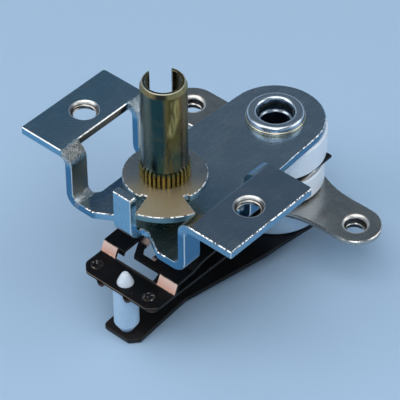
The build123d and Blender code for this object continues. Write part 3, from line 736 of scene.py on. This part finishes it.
# Painted light across the view: grey-olive at the left to gold at the right, a dark teal reflection left of
# the middle and low down, a brown reflection at the right edge and a gold highlight streak.
aged_and_painted_light = layers(
    tree, (0.15, 0.16, 0.125),
    (ramp(tree, wavy, -0.9, 0.3), (0.205, 0.140, 0.040)),
    (painted_brown_reflection, (0.200, 0.115, 0.045)),
    (painted_gold_highlight, (0.74, 0.55, 0.20)),
    (larger(tree, painted_dark_reflection, low_painted_reflection), (0.008, 0.054, 0.060)),
    (times(tree, marks, 0.25), (0.16, 0.13, 0.07)),
    (crests, (0.185, 0.150, 0.046)),
    (cuts, (0.034, 0.027, 0.012)),
    (times(tree, inside, 0.8), (0.17, 0.12, 0.05)),
    (times(tree, chamfer, 0.9), chamfer_painted_light),
    (times(tree, bright_rim, 0.9), (0.97, 0.86, 0.62)))
tree.links.new(aged_and_painted_light, shader.inputs["Base Color"])
roughen(tree, shader, ramp(tree, fine, 0.3, 0.7, 0.24, 0.32), (marks, 0.08), (bright_rim, 0.08))
bumps(tree, shader, fine, 0.008, 0.5)
finishes["brass"] = brass
print("built", brass.name)

# %% [markdown]
# ### Glazed ceramic
# The rings, the sleeve, the pin and the push tip are steatite, a dense white ceramic. It is pressed
# and fired to a smooth, nearly even surface. Metal that slides on it leaves a few faint grey marks.
# The lowest ring and the body of the pin stand in shade, so painted shade, in the blue that they
# pick up from the floor, darkens them.

# %% Ceramic finish
ceramic, tree, shader, place_mm = start_finish("white steatite", roughness=0.35)
x, _, z = axes(tree, place_mm)
grain = place(tree, rolled_grain, Place=place_mm, Stretch=(1.0, 1.0, 2.0), Fineness=1.6)
marks = place(tree, handling_marks, Place=place_mm, Size=0.8, Amount=0.36)["Mask"]
grazes = place(tree, specks, Place=place_mm, Per_mm=1.6, Size=0.16)["Mask"]
on_pin = ramp(tree, x, -5.0, -6.0)
pin_body = times(tree, on_pin, ramp(tree, z, -16.2, -16.5))
low_ring = times(tree, ramp(tree, z, -18.5, -18.9), ramp(tree, x, 5.0, 6.0))
grey_marks = times(tree, marks, ramp(tree, on_pin, 0.0, 1.0, 0.08, 0.40))
fired = layers(
    tree, (0.80, 0.86, 0.92),
    (grain["Shade"], (0.83, 0.885, 0.94)),
    # Painted shade, tinted blue like the floor's reflection, on the lowest ring and the body of the pin.
    (low_ring, (0.62, 0.73, 0.82), "MULTIPLY"),
    (pin_body, (0.60, 0.73, 0.84), "MULTIPLY"),
    (grey_marks, (0.38, 0.42, 0.46)),
    (times(tree, grazes, times(tree, pin_body, 0.65)), (0.20, 0.24, 0.27)))
tree.links.new(fired, shader.inputs["Base Color"])
roughen(tree, shader, along_grain(tree, grain, 0.30, 0.38), (marks, 0.15))
bumps(tree, shader, grain["Height"], 0.006, 0.4)
shader.inputs["Coat Weight"].default_value = 0.15
shader.inputs["Coat Roughness"].default_value = 0.2
finishes["ceramic"] = ceramic
print("built", ceramic.name)

# %% [markdown]
# ### Warm satin plating on the terminals
# The tags are brass sheet with a dull nickel skin, which keeps a warm tone. A tumbling barrel took
# off their sharp edges and left a fine, even satin.

# %% Terminal finish
tag_plate, tree, shader, place_mm = start_finish("terminal plating", metallic=1.0)
x, y, z = axes(tree, place_mm)
holes_apart = left_tag_hole[1] - right_tag_hole[1]
on_left = maths(tree, "GREATER_THAN", y, 0.0)
hole_y = minus(tree, times(tree, on_left, holes_apart), -right_tag_hole[1])
from_hole = put(tree, "CombineXYZ", X=x, Y=minus(tree, y, hole_y), Z=z).outputs[0]
hole = place(tree, tapped_hole, Place=from_hole, Centre=(right_tag_hole[0], 0.0, 0.0),
             Wall=tag_hole_wall)
lip = within(tree, hole["Distance"], 1.52, 1.80, 0.05)
grain = place(tree, rolled_grain, Place=place_mm, Stretch=(2.0, 0.7, 2.0), Fineness=0.35)
marks = place(tree, handling_marks, Place=place_mm, Size=0.12, Amount=0.45)["Mask"]
keep_off = ramp(tree, hole["Distance"], 2.3, 2.2)
edges = place(tree, chamfer_wear_and_highlights, Place=place_mm, Beads=2.4, Keep_Off=keep_off)
hair = place(tree, scratches, Place=place_mm, Turn=0.3, Fineness=0.8)["Mask"]
warm_satin = layers(
    tree, (0.50, 0.475, 0.44),
    (grain["Shade"], (0.55, 0.525, 0.485)),
    (times(tree, marks, 0.3), (0.44, 0.43, 0.41)),
    # Painted shade on the hole wall and thread roots, painted highlights on the thread crests. The lip is
    # pale.
    (times(tree, lip, 0.8), (0.86, 0.83, 0.78)),
    (hole["Root"], (0.07, 0.065, 0.06)),
    (hole["Crest"], (0.88, 0.84, 0.78)),
    # Bright beads on the edges: partly worn plating, partly a painted highlight.
    (times(tree, edges["Mask"], 0.7), (0.92, 0.90, 0.86)))
tree.links.new(warm_satin, shader.inputs["Base Color"])
roughen(tree, shader, along_grain(tree, grain, 0.24, 0.29), (marks, 0.05), (lip, 0.12), (hair, 0.05))
bumps(tree, shader, grain["Height"], 0.003, 0.3, under=edges["Normal"])
finishes["terminal_plating"] = tag_plate
print("built", tag_plate.name)

# %% [markdown]
# ### Oxidised spring alloy with bare copper bends
# Such leaves are often beryllium copper, nearly black from the heat treatment that makes them
# springy. The dark skin is thin: where the press stepped the two arms down to the bar it flaked off,
# and pinkish copper shows. Punched edges have a thin brown line.

# %% Spring leaf finish: where things are
bar_middle_y, stake_reach_y, stake_x = 0.45, 4.55, -7.95
step_x, step_z, bar_edge_z = (-5.68, -5.02), (-16.45, -14.5), (-16.44, -16.20)
upper_step_x, upper_step_y = (-2.3, -1.2), (-1.2, 2.2)
dark_spring, tree, shader, place_mm = start_finish("darkened spring alloy", roughness=0.35)
x, y, z = axes(tree, place_mm)
_, face_y, face_z = facing(tree)
ragged = cloudy(tree, place_mm, 2.6, 4.0, Roughness=0.7)
torn = cloudy(tree, place_mm, 4.2, 2.0, Roughness=0.6)
ragged_x = wander(tree, x, ragged, 0.22)
two_arms = larger(tree, ramp(tree, y, 3.85, 4.05), ramp(tree, y, -3.25, -3.45))
not_sideways = ramp(tree, size_of(tree, face_y), 0.7, 0.5)
step_down = times(tree, within(tree, ragged_x, *step_x, 0.07), within(tree, z, *step_z, 0.1), two_arms,
                  not_sideways)
upper_step = times(tree, within(tree, ragged_x, *upper_step_x, 0.15), within(tree, y, *upper_step_y, 0.4))
bare = larger(tree, step_down, times(tree, upper_step, 0.6))
across = minus(tree, size_of(tree, minus(tree, y, bar_middle_y)), stake_reach_y)
stake_place = put(tree, "CombineXYZ", X=plus(tree, x, -stake_x), Y=across).outputs[0]
from_stake = vectors(tree, "LENGTH", stake_place)["Value"]
staked = times(tree, ramp(tree, from_stake, 0.95, 0.75), ramp(tree, z, -16.5, -16.4))
glints = times(tree, staked, ramp(tree, torn, 0.61, 0.66))
towards_left = ramp(tree, plus(tree, y, times(tree, ragged, 4.0)), -3.5, 1.5, 0.25, 0.85)
sheared = times(tree, ramp(tree, size_of(tree, face_z), 0.92, 0.70), ramp(tree, x, -8.6, -8.8),
                within(tree, z, *bar_edge_z, 0.03), towards_left)
on_nibs = times(tree, ramp(tree, z, -16.80, -16.90), ramp(tree, x, -8.6, -8.7))
copper_highlight = plus(tree, times(tree, ramp(tree, x, -5.75, -5.05), 0.65), times(tree, ragged, 0.35))
print("spring leaf zones ready")

# %% Spring leaf finish: colours, gloss and relief
grain = place(tree, rolled_grain, Place=place_mm, Stretch=(1.0, 5.0, 5.0), Fineness=0.8)
marks = place(tree, handling_marks, Place=place_mm, Size=0.30, Amount=0.5)["Mask"]
edges = place(tree, worn_edges, Place=place_mm, Radius=0.09 * MM, Breaks=1.8)["Mask"]
flakes = place(tree, specks, Place=place_mm, Per_mm=0.9, Size=0.10)["Mask"]
# Painted highlight: the bare copper is lighter towards the upper part of the step.
copper = blend_colours(tree, ramp(tree, copper_highlight, 0.1, 0.9), (0.90, 0.48, 0.35), (1.0, 0.68, 0.55))
oxidised = layers(
    tree, (0.0032, 0.0032, 0.0038),
    (grain["Shade"], (0.0065, 0.0060, 0.0062)),
    (times(tree, marks, 0.4), (0.012, 0.010, 0.0095)),
    (times(tree, edges, 0.45), (0.17, 0.11, 0.08)),
    (times(tree, flakes, 0.5), (0.16, 0.12, 0.10)),
    (glints, (0.75, 0.74, 0.72)),
    (sheared, (0.42, 0.29, 0.19)),
    (on_nibs, (0.075, 0.032, 0.016)),
    (bare, copper))
tree.links.new(oxidised, shader.inputs["Base Color"])
shine = larger(tree, times(tree, bare, 0.25), times(tree, edges, 0.4))
shine = larger(tree, larger(tree, shine, times(tree, sheared, 0.6)), glints)
tree.links.new(shine, shader.inputs["Metallic"])
roughen(tree, shader, along_grain(tree, grain, 0.30, 0.40), (marks, 0.06), (bare, 0.10))
skin = bumps(tree, shader, grain["Height"], 0.010, 0.6)
bumps(tree, shader, minus(tree, times(tree, torn, staked), times(tree, flakes, 0.2)), 0.10, 0.7, under=skin)
shader.inputs["Specular IOR Level"].default_value = 0.18
finishes["dark_spring_alloy"] = dark_spring
print("built", dark_spring.name)

# %% [markdown]
# ### The bimetal strip
# Two bonded alloys rolled into one strip. It is almost black, browner at its tip, with a paler
# line where the shear cut it.

# %% Bimetal finish
dark_strip, tree, shader, place_mm = start_finish("dark bimetal", roughness=0.35)
grain = place(tree, rolled_grain, Place=place_mm, Stretch=(0.8, 6.0, 6.0), Fineness=0.8)
marks = place(tree, handling_marks, Place=place_mm, Size=0.28, Amount=0.5)["Mask"]
edges = place(tree, worn_edges, Place=place_mm, Radius=0.10 * MM, Breaks=1.5)["Mask"]
tip = ramp(tree, axes(tree, place_mm)["X"], -3.0, -8.5)
darkened = layers(
    tree, (0.0030, 0.0029, 0.0034),
    (grain["Shade"], (0.0060, 0.0056, 0.0060)),
    (times(tree, tip, 0.75), (0.022, 0.017, 0.015)),
    (times(tree, marks, 0.35), (0.016, 0.012, 0.010)),
    (times(tree, edges, 0.5), (0.20, 0.15, 0.12)))
tree.links.new(darkened, shader.inputs["Base Color"])
tree.links.new(ramp(tree, edges, 0.0, 1.0, 0.0, 0.7), shader.inputs["Metallic"])
roughen(tree, shader, along_grain(tree, grain, 0.32, 0.42), (marks, 0.06))
bumps(tree, shader, grain["Height"], 0.010, 0.6)
shader.inputs["Specular IOR Level"].default_value = 0.25
finishes["dark_bimetal"] = dark_strip
print("built", dark_strip.name)

# %% [markdown]
# ### Silver contacts
# The contact faces are fine silver, which stays pale and gathers a thin brown tarnish.

# %% Contact finish
silver, tree, shader, place_mm = start_finish("contact silver", metallic=1.0)
tarnish = place(tree, handling_marks, Place=place_mm, Size=1.4, Amount=0.5)["Mask"]
grain = place(tree, rolled_grain, Place=place_mm, Stretch=(3.0, 3.0, 3.0), Fineness=2.0)
tarnished = blend_colours(tree, tarnish, (0.86, 0.84, 0.79), (0.55, 0.48, 0.40))
tree.links.new(tarnished, shader.inputs["Base Color"])
roughen(tree, shader, along_grain(tree, grain, 0.24, 0.40))
bumps(tree, shader, grain["Height"], 0.01, 0.6)
finishes["silver"] = silver
print("built", silver.name)

# %% [markdown]
# ## Rounded edges on the CAD pieces
# CAD leaves every edge as sharp as a razor, and a razor edge never catches light. Real punched and
# tumbled edges are rounded by about a tenth of a millimetre. Four modifiers do this without
# touching the CAD mesh: Weld joins its split corners, Decimate merges the triangles of each flat
# face, Bevel rounds what is left, and Weighted Normal keeps the flat faces looking flat.

# %% Helpers that dress a CAD piece
touching, flat_turn, sharp_turn = 0.001 * MM, radians(1.0), radians(32)


def keep_flat(piece):
    """Shade large faces flat, so that only the roundings between them bend the light."""
    shade = piece.modifiers.new("keep faces flat", "WEIGHTED_NORMAL")
    shade.weight, shade.keep_sharp = 100, False


def soften(piece, width_mm, segments):
    weld = piece.modifiers.new("join corners", "WELD")
    weld.merge_threshold = touching
    merge = piece.modifiers.new("merge flat faces", "DECIMATE")
    merge.decimate_type, merge.angle_limit = "DISSOLVE", flat_turn
    rounding = piece.modifiers.new("round edges", "BEVEL")
    rounding.width, rounding.segments = width_mm * MM, segments
    rounding.limit_method, rounding.angle_limit = "ANGLE", sharp_turn
    keep_flat(piece)


print("dressing helpers ready")

# %% Give every CAD piece its finish
slot_of = {name: material["slot"] for material in frame["record"]["materials"]
           for name in material.get("nodes", [])}
for name, piece in nodes.items():
    slot_name = slot_of.get(name) or piece.data.materials[0].name
    for index in range(len(piece.data.materials)):
        piece.data.materials[index] = finishes[slot_name]
print("finished", len(nodes), "pieces")

# %% Round the edges of the small pieces
edge_mm = {
    "stop_washer": 0.10, "rivet_tube": 0.08, "left_terminal": 0.12, "right_terminal": 0.12,
    "ceramic_pin": 0.06, "push_tip": 0.06, "upper_insulator": 0.10, "middle_insulator": 0.10,
    "lower_insulator": 0.10, "top_washer": 0.06, "bottom_washer": 0.08, "calibration_screw": 0.06,
    "moving_contact": 0.04, "fixed_contact": 0.04,
}
flat_chamfers = ("stop_washer", "left_terminal", "right_terminal")
for name, width in edge_mm.items():
    soften(nodes[name], width, 1 if name in flat_chamfers else 2)
print("rounded", len(edge_mm), "pieces")

# %% [markdown]
# ## Chamfered edges on the folded sheet
# The bracket's bends are made of short facets. A bevel that guards against overlaps narrows every
# edge to suit the shortest one, so these edges are cut in mesh code with that guard off. The corners
# of the ears get a small radius first, as a punch leaves them, and then all sharp edges get one
# narrow flat chamfer. A flat chamfer sends a lamp's light one way along its whole length, which draws
# the bright line of a real edge.

# %% Helpers that edit a sheet
def sheet_from(node_name):
    """A CAD piece as an editable shape with whole flat faces."""
    sheet = bmesh.new()
    sheet.from_mesh(nodes[node_name].data)
    bmesh.ops.remove_doubles(sheet, verts=sheet.verts, dist=touching)
    bmesh.ops.dissolve_limit(sheet, angle_limit=flat_turn, verts=sheet.verts, edges=sheet.edges)
    return sheet


def sharp_edges(shape, least_turn=sharp_turn):
    """Edges where two faces meet at more than an angle."""
    return [edge for edge in shape.edges
            if len(edge.link_faces) == 2 and edge.calc_face_angle() > least_turn]


def cut_edges(shape, edges, width_mm, segments, clamp=False):
    bmesh.ops.bevel(shape, geom=edges, offset=width_mm * MM, offset_type="OFFSET", segments=segments,
                    profile=0.5, affect="EDGES", clamp_overlap=clamp)


def make_piece(shape, name, finish):
    """Turn an edited shape into an object with a finish."""
    mesh = bpy.data.meshes.new(name)
    shape.to_mesh(mesh)
    shape.free()
    mesh.materials.append(finish)
    return stand(name, mesh)


def open_edges(shape):
    return sum(len(edge.link_faces) != 2 for edge in shape.edges)


print("sheet helpers ready")

# %% Round the ears' corners and chamfer the edges
beyond_x, beyond_y, far_corner_mm, near_corner_mm, chamfer_mm = 7.7, 15, 0.45, 0.20, 0.12
sheet = sheet_from("mounting_bracket")


def at_ear_corner(edge):
    """Whether an edge stands upright at an outer corner of an ear."""
    run = edge.verts[1].co - edge.verts[0].co
    return abs(run.z) > 0.9 * run.length and all(
        abs(vert.co.x) > beyond_x * MM and abs(vert.co.y) > beyond_y * MM for vert in edge.verts)


ear_corners = [edge for edge in sheet.edges if at_ear_corner(edge)]
far_corners = [edge for edge in ear_corners if edge.verts[0].co.x > 0]
near_corners = [edge for edge in ear_corners if edge.verts[0].co.x < 0]
cut_edges(sheet, far_corners, far_corner_mm, 4)
cut_edges(sheet, near_corners, near_corner_mm, 4)
sharp = sharp_edges(sheet)
cut_edges(sheet, sharp, chamfer_mm, 1)
for face in sheet.faces:
    face.smooth = True
print("rounded", len(ear_corners), "ear corners, chamfered", len(sharp), "edges")
print("open edges left on the bracket:", open_edges(sheet))
folded_bracket = make_piece(sheet, "folded_bracket", nickel)
keep_flat(folded_bracket)
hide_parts("mounting_bracket")
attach(folded_bracket, "frame")

# %% [markdown]
# ## The knurled, slotted shaft
# A lathe turns the shaft and a wheel presses the knurl into it, so its shape is one outline swept
# around an axis. The CAD knurl has plain square grooves. Here the outline is swept in many columns,
# and the columns that fall in a groove are pulled in, which gives sloping V grooves that fade out
# on the cone above them. The rims get small roundings, two ring grooves stand for the thread at the
# lower end, and the slot is sawn out last.

# %% Outline of the shaft, in millimetres
shaft_top, shaft_bottom, knurl_base, knurl_end = 12.47, -11.9, -2.62, -0.17
body_radius, thread_radius, crest_radius, bore_radius, small_bore = 3.0, 2.5, 3.28, 2.3, 1.7
bore_floor, slot_floor, slot_half, slot_turn = 2.07, 5.97, 1.45, radians(52.0)
groove_depth, groove_width, groove_apart, first_groove = 0.14, 0.18, 0.26, 0.18
cone_low, rim_low, rim_high, chamfer_low = -0.68, 12.41, 12.45, 11.77
thread_grooves = []
for ring in range(2):
    low = shaft_bottom + first_groove + groove_apart * ring
    thread_grooves += [(thread_radius, low), (thread_radius - groove_depth, low + groove_width / 2),
                       (thread_radius, low + groove_width)]
lower_end = [(small_bore, shaft_bottom), (thread_radius - 0.16, shaft_bottom),
             (thread_radius, shaft_bottom + 0.12)]
knurl = [(thread_radius, knurl_base), (crest_radius - 0.05, knurl_base), (crest_radius, knurl_base + 0.05),
         (crest_radius, cone_low), (crest_radius - 0.03, -0.60), (body_radius + 0.03, -0.20),
         (body_radius, knurl_end)]
body = [(body_radius, height) for height in (1.0, 3.0, slot_floor, 8.0, 10.0, chamfer_low)]
rounded_rim = [(2.745, rim_low), (2.725, rim_high), (2.68, shaft_top), (2.36, shaft_top), (2.32, rim_high)]
bore = [(bore_radius, height) for height in (rim_low, 10.0, slot_floor, bore_floor)]
bore.append((small_bore, bore_floor))
outline = lower_end + thread_grooves + knurl + body + rounded_rim + bore
print("outline has", len(outline), "points")

# %% Helper that joins rows of corners
def join_rows(shape, rows):
    """Four-cornered faces between closed rows of corners that lie next to each other."""
    for first, second in zip(rows, rows[1:]):
        for column, corner in enumerate(first):
            onward = (column + 1) % len(first)
            shape.faces.new((corner, first[onward], second[onward], second[column]))
    bmesh.ops.recalc_face_normals(shape, faces=shape.faces)


print("row helper ready")

# %% Sweep the outline in columns that follow the grooves
teeth, groove_floor, groove_edge, groove_round = 32, 0.05, 0.14, 0.06
pitch = 2 * pi / teeth
half_groove = [(0.0, 0.0), (groove_floor, 0.0), (groove_edge, 0.85), (groove_edge + groove_round, 1.0)]
columns = []
for tooth in range(teeth):
    columns += [(tooth * pitch + reach / crest_radius, height_share) for reach, height_share in half_groove]
    columns.append(((tooth + 0.5) * pitch, 1.0))
    columns += [((tooth + 1) * pitch - reach / crest_radius, height_share)
                for reach, height_share in half_groove[:0:-1]]
turned = bmesh.new()
rows = []
for radius, height in outline:
    knurled = radius > body_radius and knurl_base <= height <= knurl_end
    row = []
    for turn, height_share in columns:
        reach = body_radius + (radius - body_radius) * height_share if knurled else radius
        row.append(turned.verts.new((reach * cos(turn) * MM, reach * sin(turn) * MM, height * MM)))
    rows.append(row)
join_rows(turned, rows + rows[:1])
print("swept", len(turned.faces), "faces")

# %% [markdown]
# ### Sawing the slot
# The slot goes through the back wall only. Two upright planes and the row of points at its floor
# cut the wall, the faces between them are taken out, and the open walls are closed with flat faces
# whose corners are walked in order along the cut.

# %% Saw the slot through the back wall
slot_way = Vector((cos(slot_turn), sin(slot_turn), 0))
slot_side = Vector((sin(slot_turn), -cos(slot_turn), 0))


def in_back_wall(face):
    middle = face.calc_center_median() / MM
    return middle.z > slot_floor + 0.01 and middle.dot(slot_way) > 0


for side in (-1, 1):
    back = [face for face in turned.faces if in_back_wall(face)]
    cut_items = list({item for face in back for item in (face, *face.edges, *face.verts)})
    bmesh.ops.bisect_plane(turned, geom=cut_items, plane_co=slot_side * (side * slot_half * MM),
                           plane_no=slot_side, dist=1e-8)
gone = [face for face in turned.faces
        if in_back_wall(face) and abs(face.calc_center_median().dot(slot_side)) < slot_half * MM]
bmesh.ops.delete(turned, geom=gone, context="FACES")
print("sawed out", len(gone), "faces")


# %% Helper that walks along a cut
def walk(edges):
    """The corners along a chain of edges, from one end to the other."""
    near = {}
    for edge in edges:
        for first, second in (edge.verts, reversed(edge.verts)):
            near.setdefault(first, []).append(second)
    chain = [next(vert for vert in near if len(near[vert]) == 1)]
    while onward := [vert for vert in near[chain[-1]] if vert not in chain]:
        chain.append(onward[0])
    return chain


def cut_rim(shape):
    """The edges with only one face."""
    return [edge for edge in shape.edges if len(edge.link_faces) == 1]


print("walk helper ready")

# %% Close the walls and the floor of the slot
inside_wall, outside_wall = 2.4 * MM, 2.9 * MM
rim_edges = cut_rim(turned)
for side in (-1, 1):
    wall = [edge for edge in rim_edges
            if all(abs(vert.co.dot(slot_side) / MM - side * slot_half) < 1e-3 for vert in edge.verts)]
    turned.faces.new(walk(wall))
floor_edges = [edge for edge in cut_rim(turned)
               if all(abs(vert.co.z / MM - slot_floor) < 1e-4 for vert in edge.verts)]
outer = [edge for edge in floor_edges if min(vert.co.xy.length for vert in edge.verts) > outside_wall]
inner = [edge for edge in floor_edges if max(vert.co.xy.length for vert in edge.verts) < inside_wall]
outer_walk, inner_walk = walk(outer), walk(inner)
end = outer_walk[-1].co
if (end - inner_walk[0].co).length > (end - inner_walk[-1].co).length:
    inner_walk.reverse()
turned.faces.new(outer_walk + inner_walk)
bmesh.ops.recalc_face_normals(turned, faces=turned.faces)
print("open edges left on the shaft:", open_edges(turned))

# %% Finish the shaft
for face in turned.faces:
    face.smooth = True
for edge in turned.edges:
    edge.smooth = len(edge.link_faces) == 2 and edge.calc_face_angle() < radians(18)
knurled_shaft = make_piece(turned, "knurled_shaft", brass)
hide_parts("adjusting_shaft")
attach(knurled_shaft, "shaft")
print("shaft box, mm:", [round(v / MM, 2) for v in knurled_shaft.dimensions])

# %% [markdown]
# ## Leaves and strip that bend
# The two spring leaves and the bimetal strip bend when the switch works, which the CAD solid can't.
# Each is remade from its CAD outline as a thin sheet with extra cuts across it, so that it can
# curve. Its front corners are rounded as a punch leaves them, and all its edges by a bevel.

# %% Cut and round a leaf from its CAD outline
def bending_leaf(node_name, name, cuts_mm, round_mm, finish, corner_x=-8.4, corner_mm=0.4):
    """A leaf with extra cuts across it. Its upright corners in front of corner_x are rounded."""
    sheet = sheet_from(node_name)
    front = [edge for edge in sharp_edges(sheet, radians(30))
             if all(vert.co.x < corner_x * MM for vert in edge.verts)
             and abs((edge.verts[0].co - edge.verts[1].co).normalized().z) > 0.9]
    cut_edges(sheet, front, corner_mm, 4)
    cut_edges(sheet, sharp_edges(sheet), round_mm, 2, clamp=True)
    for cut in cuts_mm:
        bmesh.ops.bisect_plane(sheet, geom=sheet.verts[:] + sheet.edges[:] + sheet.faces[:],
                               plane_co=(cut * MM, 0, 0), plane_no=(1, 0, 0), dist=1e-7)
    for face in sheet.faces:
        face.smooth = True
    print(name, "has", len(sheet.verts), "corners")
    leaf = make_piece(sheet, name, finish)
    keep_flat(leaf)
    return leaf


def even_cuts(start, end, count):
    return [start + step * (end - start) / count for step in range(count + 1)]


clamp_x, free_x, strip_free_x = 14.85, 4.0, 0.0
leaf_cuts, strip_cuts = even_cuts(free_x, clamp_x, 16), even_cuts(strip_free_x, clamp_x, 22)
contact_spring = bending_leaf("contact_leaf", "contact_spring", leaf_cuts, 0.07, dark_spring)
setting_spring = bending_leaf("setting_leaf", "setting_spring", leaf_cuts, 0.07, dark_spring,
                              corner_x=-8.6, corner_mm=0.8)
heat_strip = bending_leaf("bimetal_strip", "heat_strip", strip_cuts, 0.10, dark_strip,
                          corner_x=-8.6, corner_mm=0.2)

# %% Hide the CAD leaves and bake the new leaves in place
for leaf, node_name, arm, slot_name, level, free in (
        (contact_spring, "contact_leaf", "contact_arm", "dark_spring_alloy", -13.15, free_x),
        (setting_spring, "setting_leaf", "setting_arm", "dark_spring_alloy", -18.0, free_x),
        (heat_strip, "bimetal_strip", "bimetal", "dark_bimetal", -22.95, strip_free_x)):
    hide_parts(node_name)
    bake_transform(leaf)
    print(leaf.name, "bends between", free, "and", clamp_x, "mm")

# %% [markdown]
# ## Nibs and stake marks on the cross bar
# Under the front edge of the bar hang two half-round nibs, made from circles that shrink towards a
# tip. The contacts under the bar are held by punching two dimples into its top. The punch threw up a
# rough ring of metal round each dimple. A ring of points in circles, lifted by a noise, has the
# same torn look, and the noise is fixed, so that each run gives the same ring.

# %% Half-round nibs under the bar
def corner_at(shape, centre_mm, radius, turn, height):
    """A corner at a radius and a turn around a centre, all in millimetres."""
    return shape.verts.new(((centre_mm[0] + radius * cos(turn)) * MM,
                            (centre_mm[1] + radius * sin(turn)) * MM, height * MM))


def nib_dome(name, centre_mm, top_mm, drop_mm, radius_mm=0.62, columns=28, rows=9):
    dome = bmesh.new()
    circles = []
    for row in range(rows):
        quarter = row / rows * pi / 2
        reach, height = radius_mm * cos(quarter) ** 0.8, top_mm - drop_mm * sin(quarter)
        circles.append([corner_at(dome, centre_mm, reach, 2 * pi * column / columns, height)
                        for column in range(columns)])
    tip = corner_at(dome, centre_mm, 0, 0, top_mm - drop_mm)
    for column in range(columns):
        dome.faces.new((circles[-1][column], circles[-1][(column + 1) % columns], tip))
    dome.faces.new(circles[0][::-1])
    join_rows(dome, circles)
    for face in dome.faces:
        face.smooth = len(face.verts) < 5
    stud = make_piece(dome, name, dark_spring)
    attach(stud, "contact_arm")
    return stud


nib_x, nib_top, nib_drop = -9.42, -16.62, 1.05
nib_domes = [nib_dome("front_nib", (nib_x, -1.70), nib_top, nib_drop),
             nib_dome("rear_nib", (nib_x, 2.85), nib_top, nib_drop)]
print("hung", len(nib_domes), "nibs")


# %% Torn rings round the dimples
def torn_ring(name, centre_mm, top_mm, inner_mm=0.56, outer_mm=0.88, lift_mm=0.13, columns=44, rows=7):
    wobble_mm, wobble_waves, tear_waves, sunk_mm = 0.05, 3, 4.5, 0.02
    ring = bmesh.new()
    circles = []
    for row in range(rows):
        share = row / (rows - 1)
        circle = []
        for column in range(columns):
            turn = 2 * pi * column / columns
            radius = inner_mm + (outer_mm - inner_mm) * share
            radius += wobble_mm * noise.noise(
                Vector((wobble_waves * cos(turn), wobble_waves * sin(turn), centre_mm[1])))
            torn_up = 0.55 + 1.1 * noise.noise(
                Vector((tear_waves * radius * cos(turn), tear_waves * radius * sin(turn), centre_mm[1] + 5)))
            lift = lift_mm * sin(pi * share) ** 0.7 * max(0.1, torn_up) - sunk_mm
            circle.append(corner_at(ring, centre_mm, radius, turn, top_mm + lift))
        circles.append(circle)
    join_rows(ring, circles)
    torn_metal = make_piece(ring, name, dark_spring)
    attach(torn_metal, "contact_arm")
    return torn_metal


bar_top = -16.3
stake_rings = [torn_ring("front_stake_ring", (stake_x, bar_middle_y - stake_reach_y), bar_top),
               torn_ring("rear_stake_ring", (stake_x, bar_middle_y + stake_reach_y), bar_top)]
print("threw up", len(stake_rings), "rings")

# %% [markdown]
# ## Screw threads
# The panel holes and the terminal holes are tapped. From above, each thread shows as two or three
# bright rings inside the hole. A ridge with a triangular section, wound up the wall as a helix and
# fading out at both ends, gives exactly that.

# %% Thread ridges in the tapped holes
def thread_ridge(name, centre_mm, bottom_mm, top_mm, wall_mm, pitch_mm, finish, depth_mm=0.16, per_turn=40):
    """A ridge that winds up a round wall. Its foot is sunk into the wall and its crest points inwards."""
    sunk, foot, crest, clear_ends = 0.02, 0.45, 0.06, 0.55
    turns = (top_mm - bottom_mm) / pitch_mm - clear_ends
    count = int(turns * per_turn)
    ridge = bmesh.new()
    sections = []
    for step in range(count + 1):
        share = step / count
        inner = wall_mm - depth_mm * min(1.0, 5 * share, 5 * (1 - share))
        level = bottom_mm + clear_ends / 2 * pitch_mm + pitch_mm * turns * share
        sections.append([
            corner_at(ridge, centre_mm, radius, 2 * pi * turns * share, level + rise * pitch_mm)
            for radius, rise in ((wall_mm + sunk, -foot), (inner, -crest), (inner, crest),
                                 (wall_mm + sunk, foot))])
    ridge.faces.new(sections[0])
    ridge.faces.new(sections[-1][::-1])
    join_rows(ridge, sections)
    return make_piece(ridge, name, finish)


# Bottom, top, radius of the wall and pitch in millimetres, then the finish
in_the_ears = (-1.2, -0.3, panel_hole_wall, 0.45, nickel)
in_left_tag = (-15.3, -14.0, tag_hole_wall, 0.5, tag_plate)
in_right_tag = (-20.2, -18.85, tag_hole_wall, 0.5, tag_plate)
threads = [
    (thread_ridge("left_panel_thread", (0, panel_hole_y), *in_the_ears), "plated_steel"),
    (thread_ridge("right_panel_thread", (0, -panel_hole_y), *in_the_ears), "plated_steel"),
    (thread_ridge("left_terminal_thread", left_tag_hole, *in_left_tag), "terminal_plating"),
    (thread_ridge("right_terminal_thread", right_tag_hole, *in_right_tag), "terminal_plating"),
]
for thread, slot_name in threads:
    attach(thread, "frame")
print("cut", len(threads), "threads")

# %% [markdown]
# ## The CAD box
# The box that CAD gave the part is printed.

# %% Print the CAD box
print("CAD box    ", box_in_mm(cad_box))
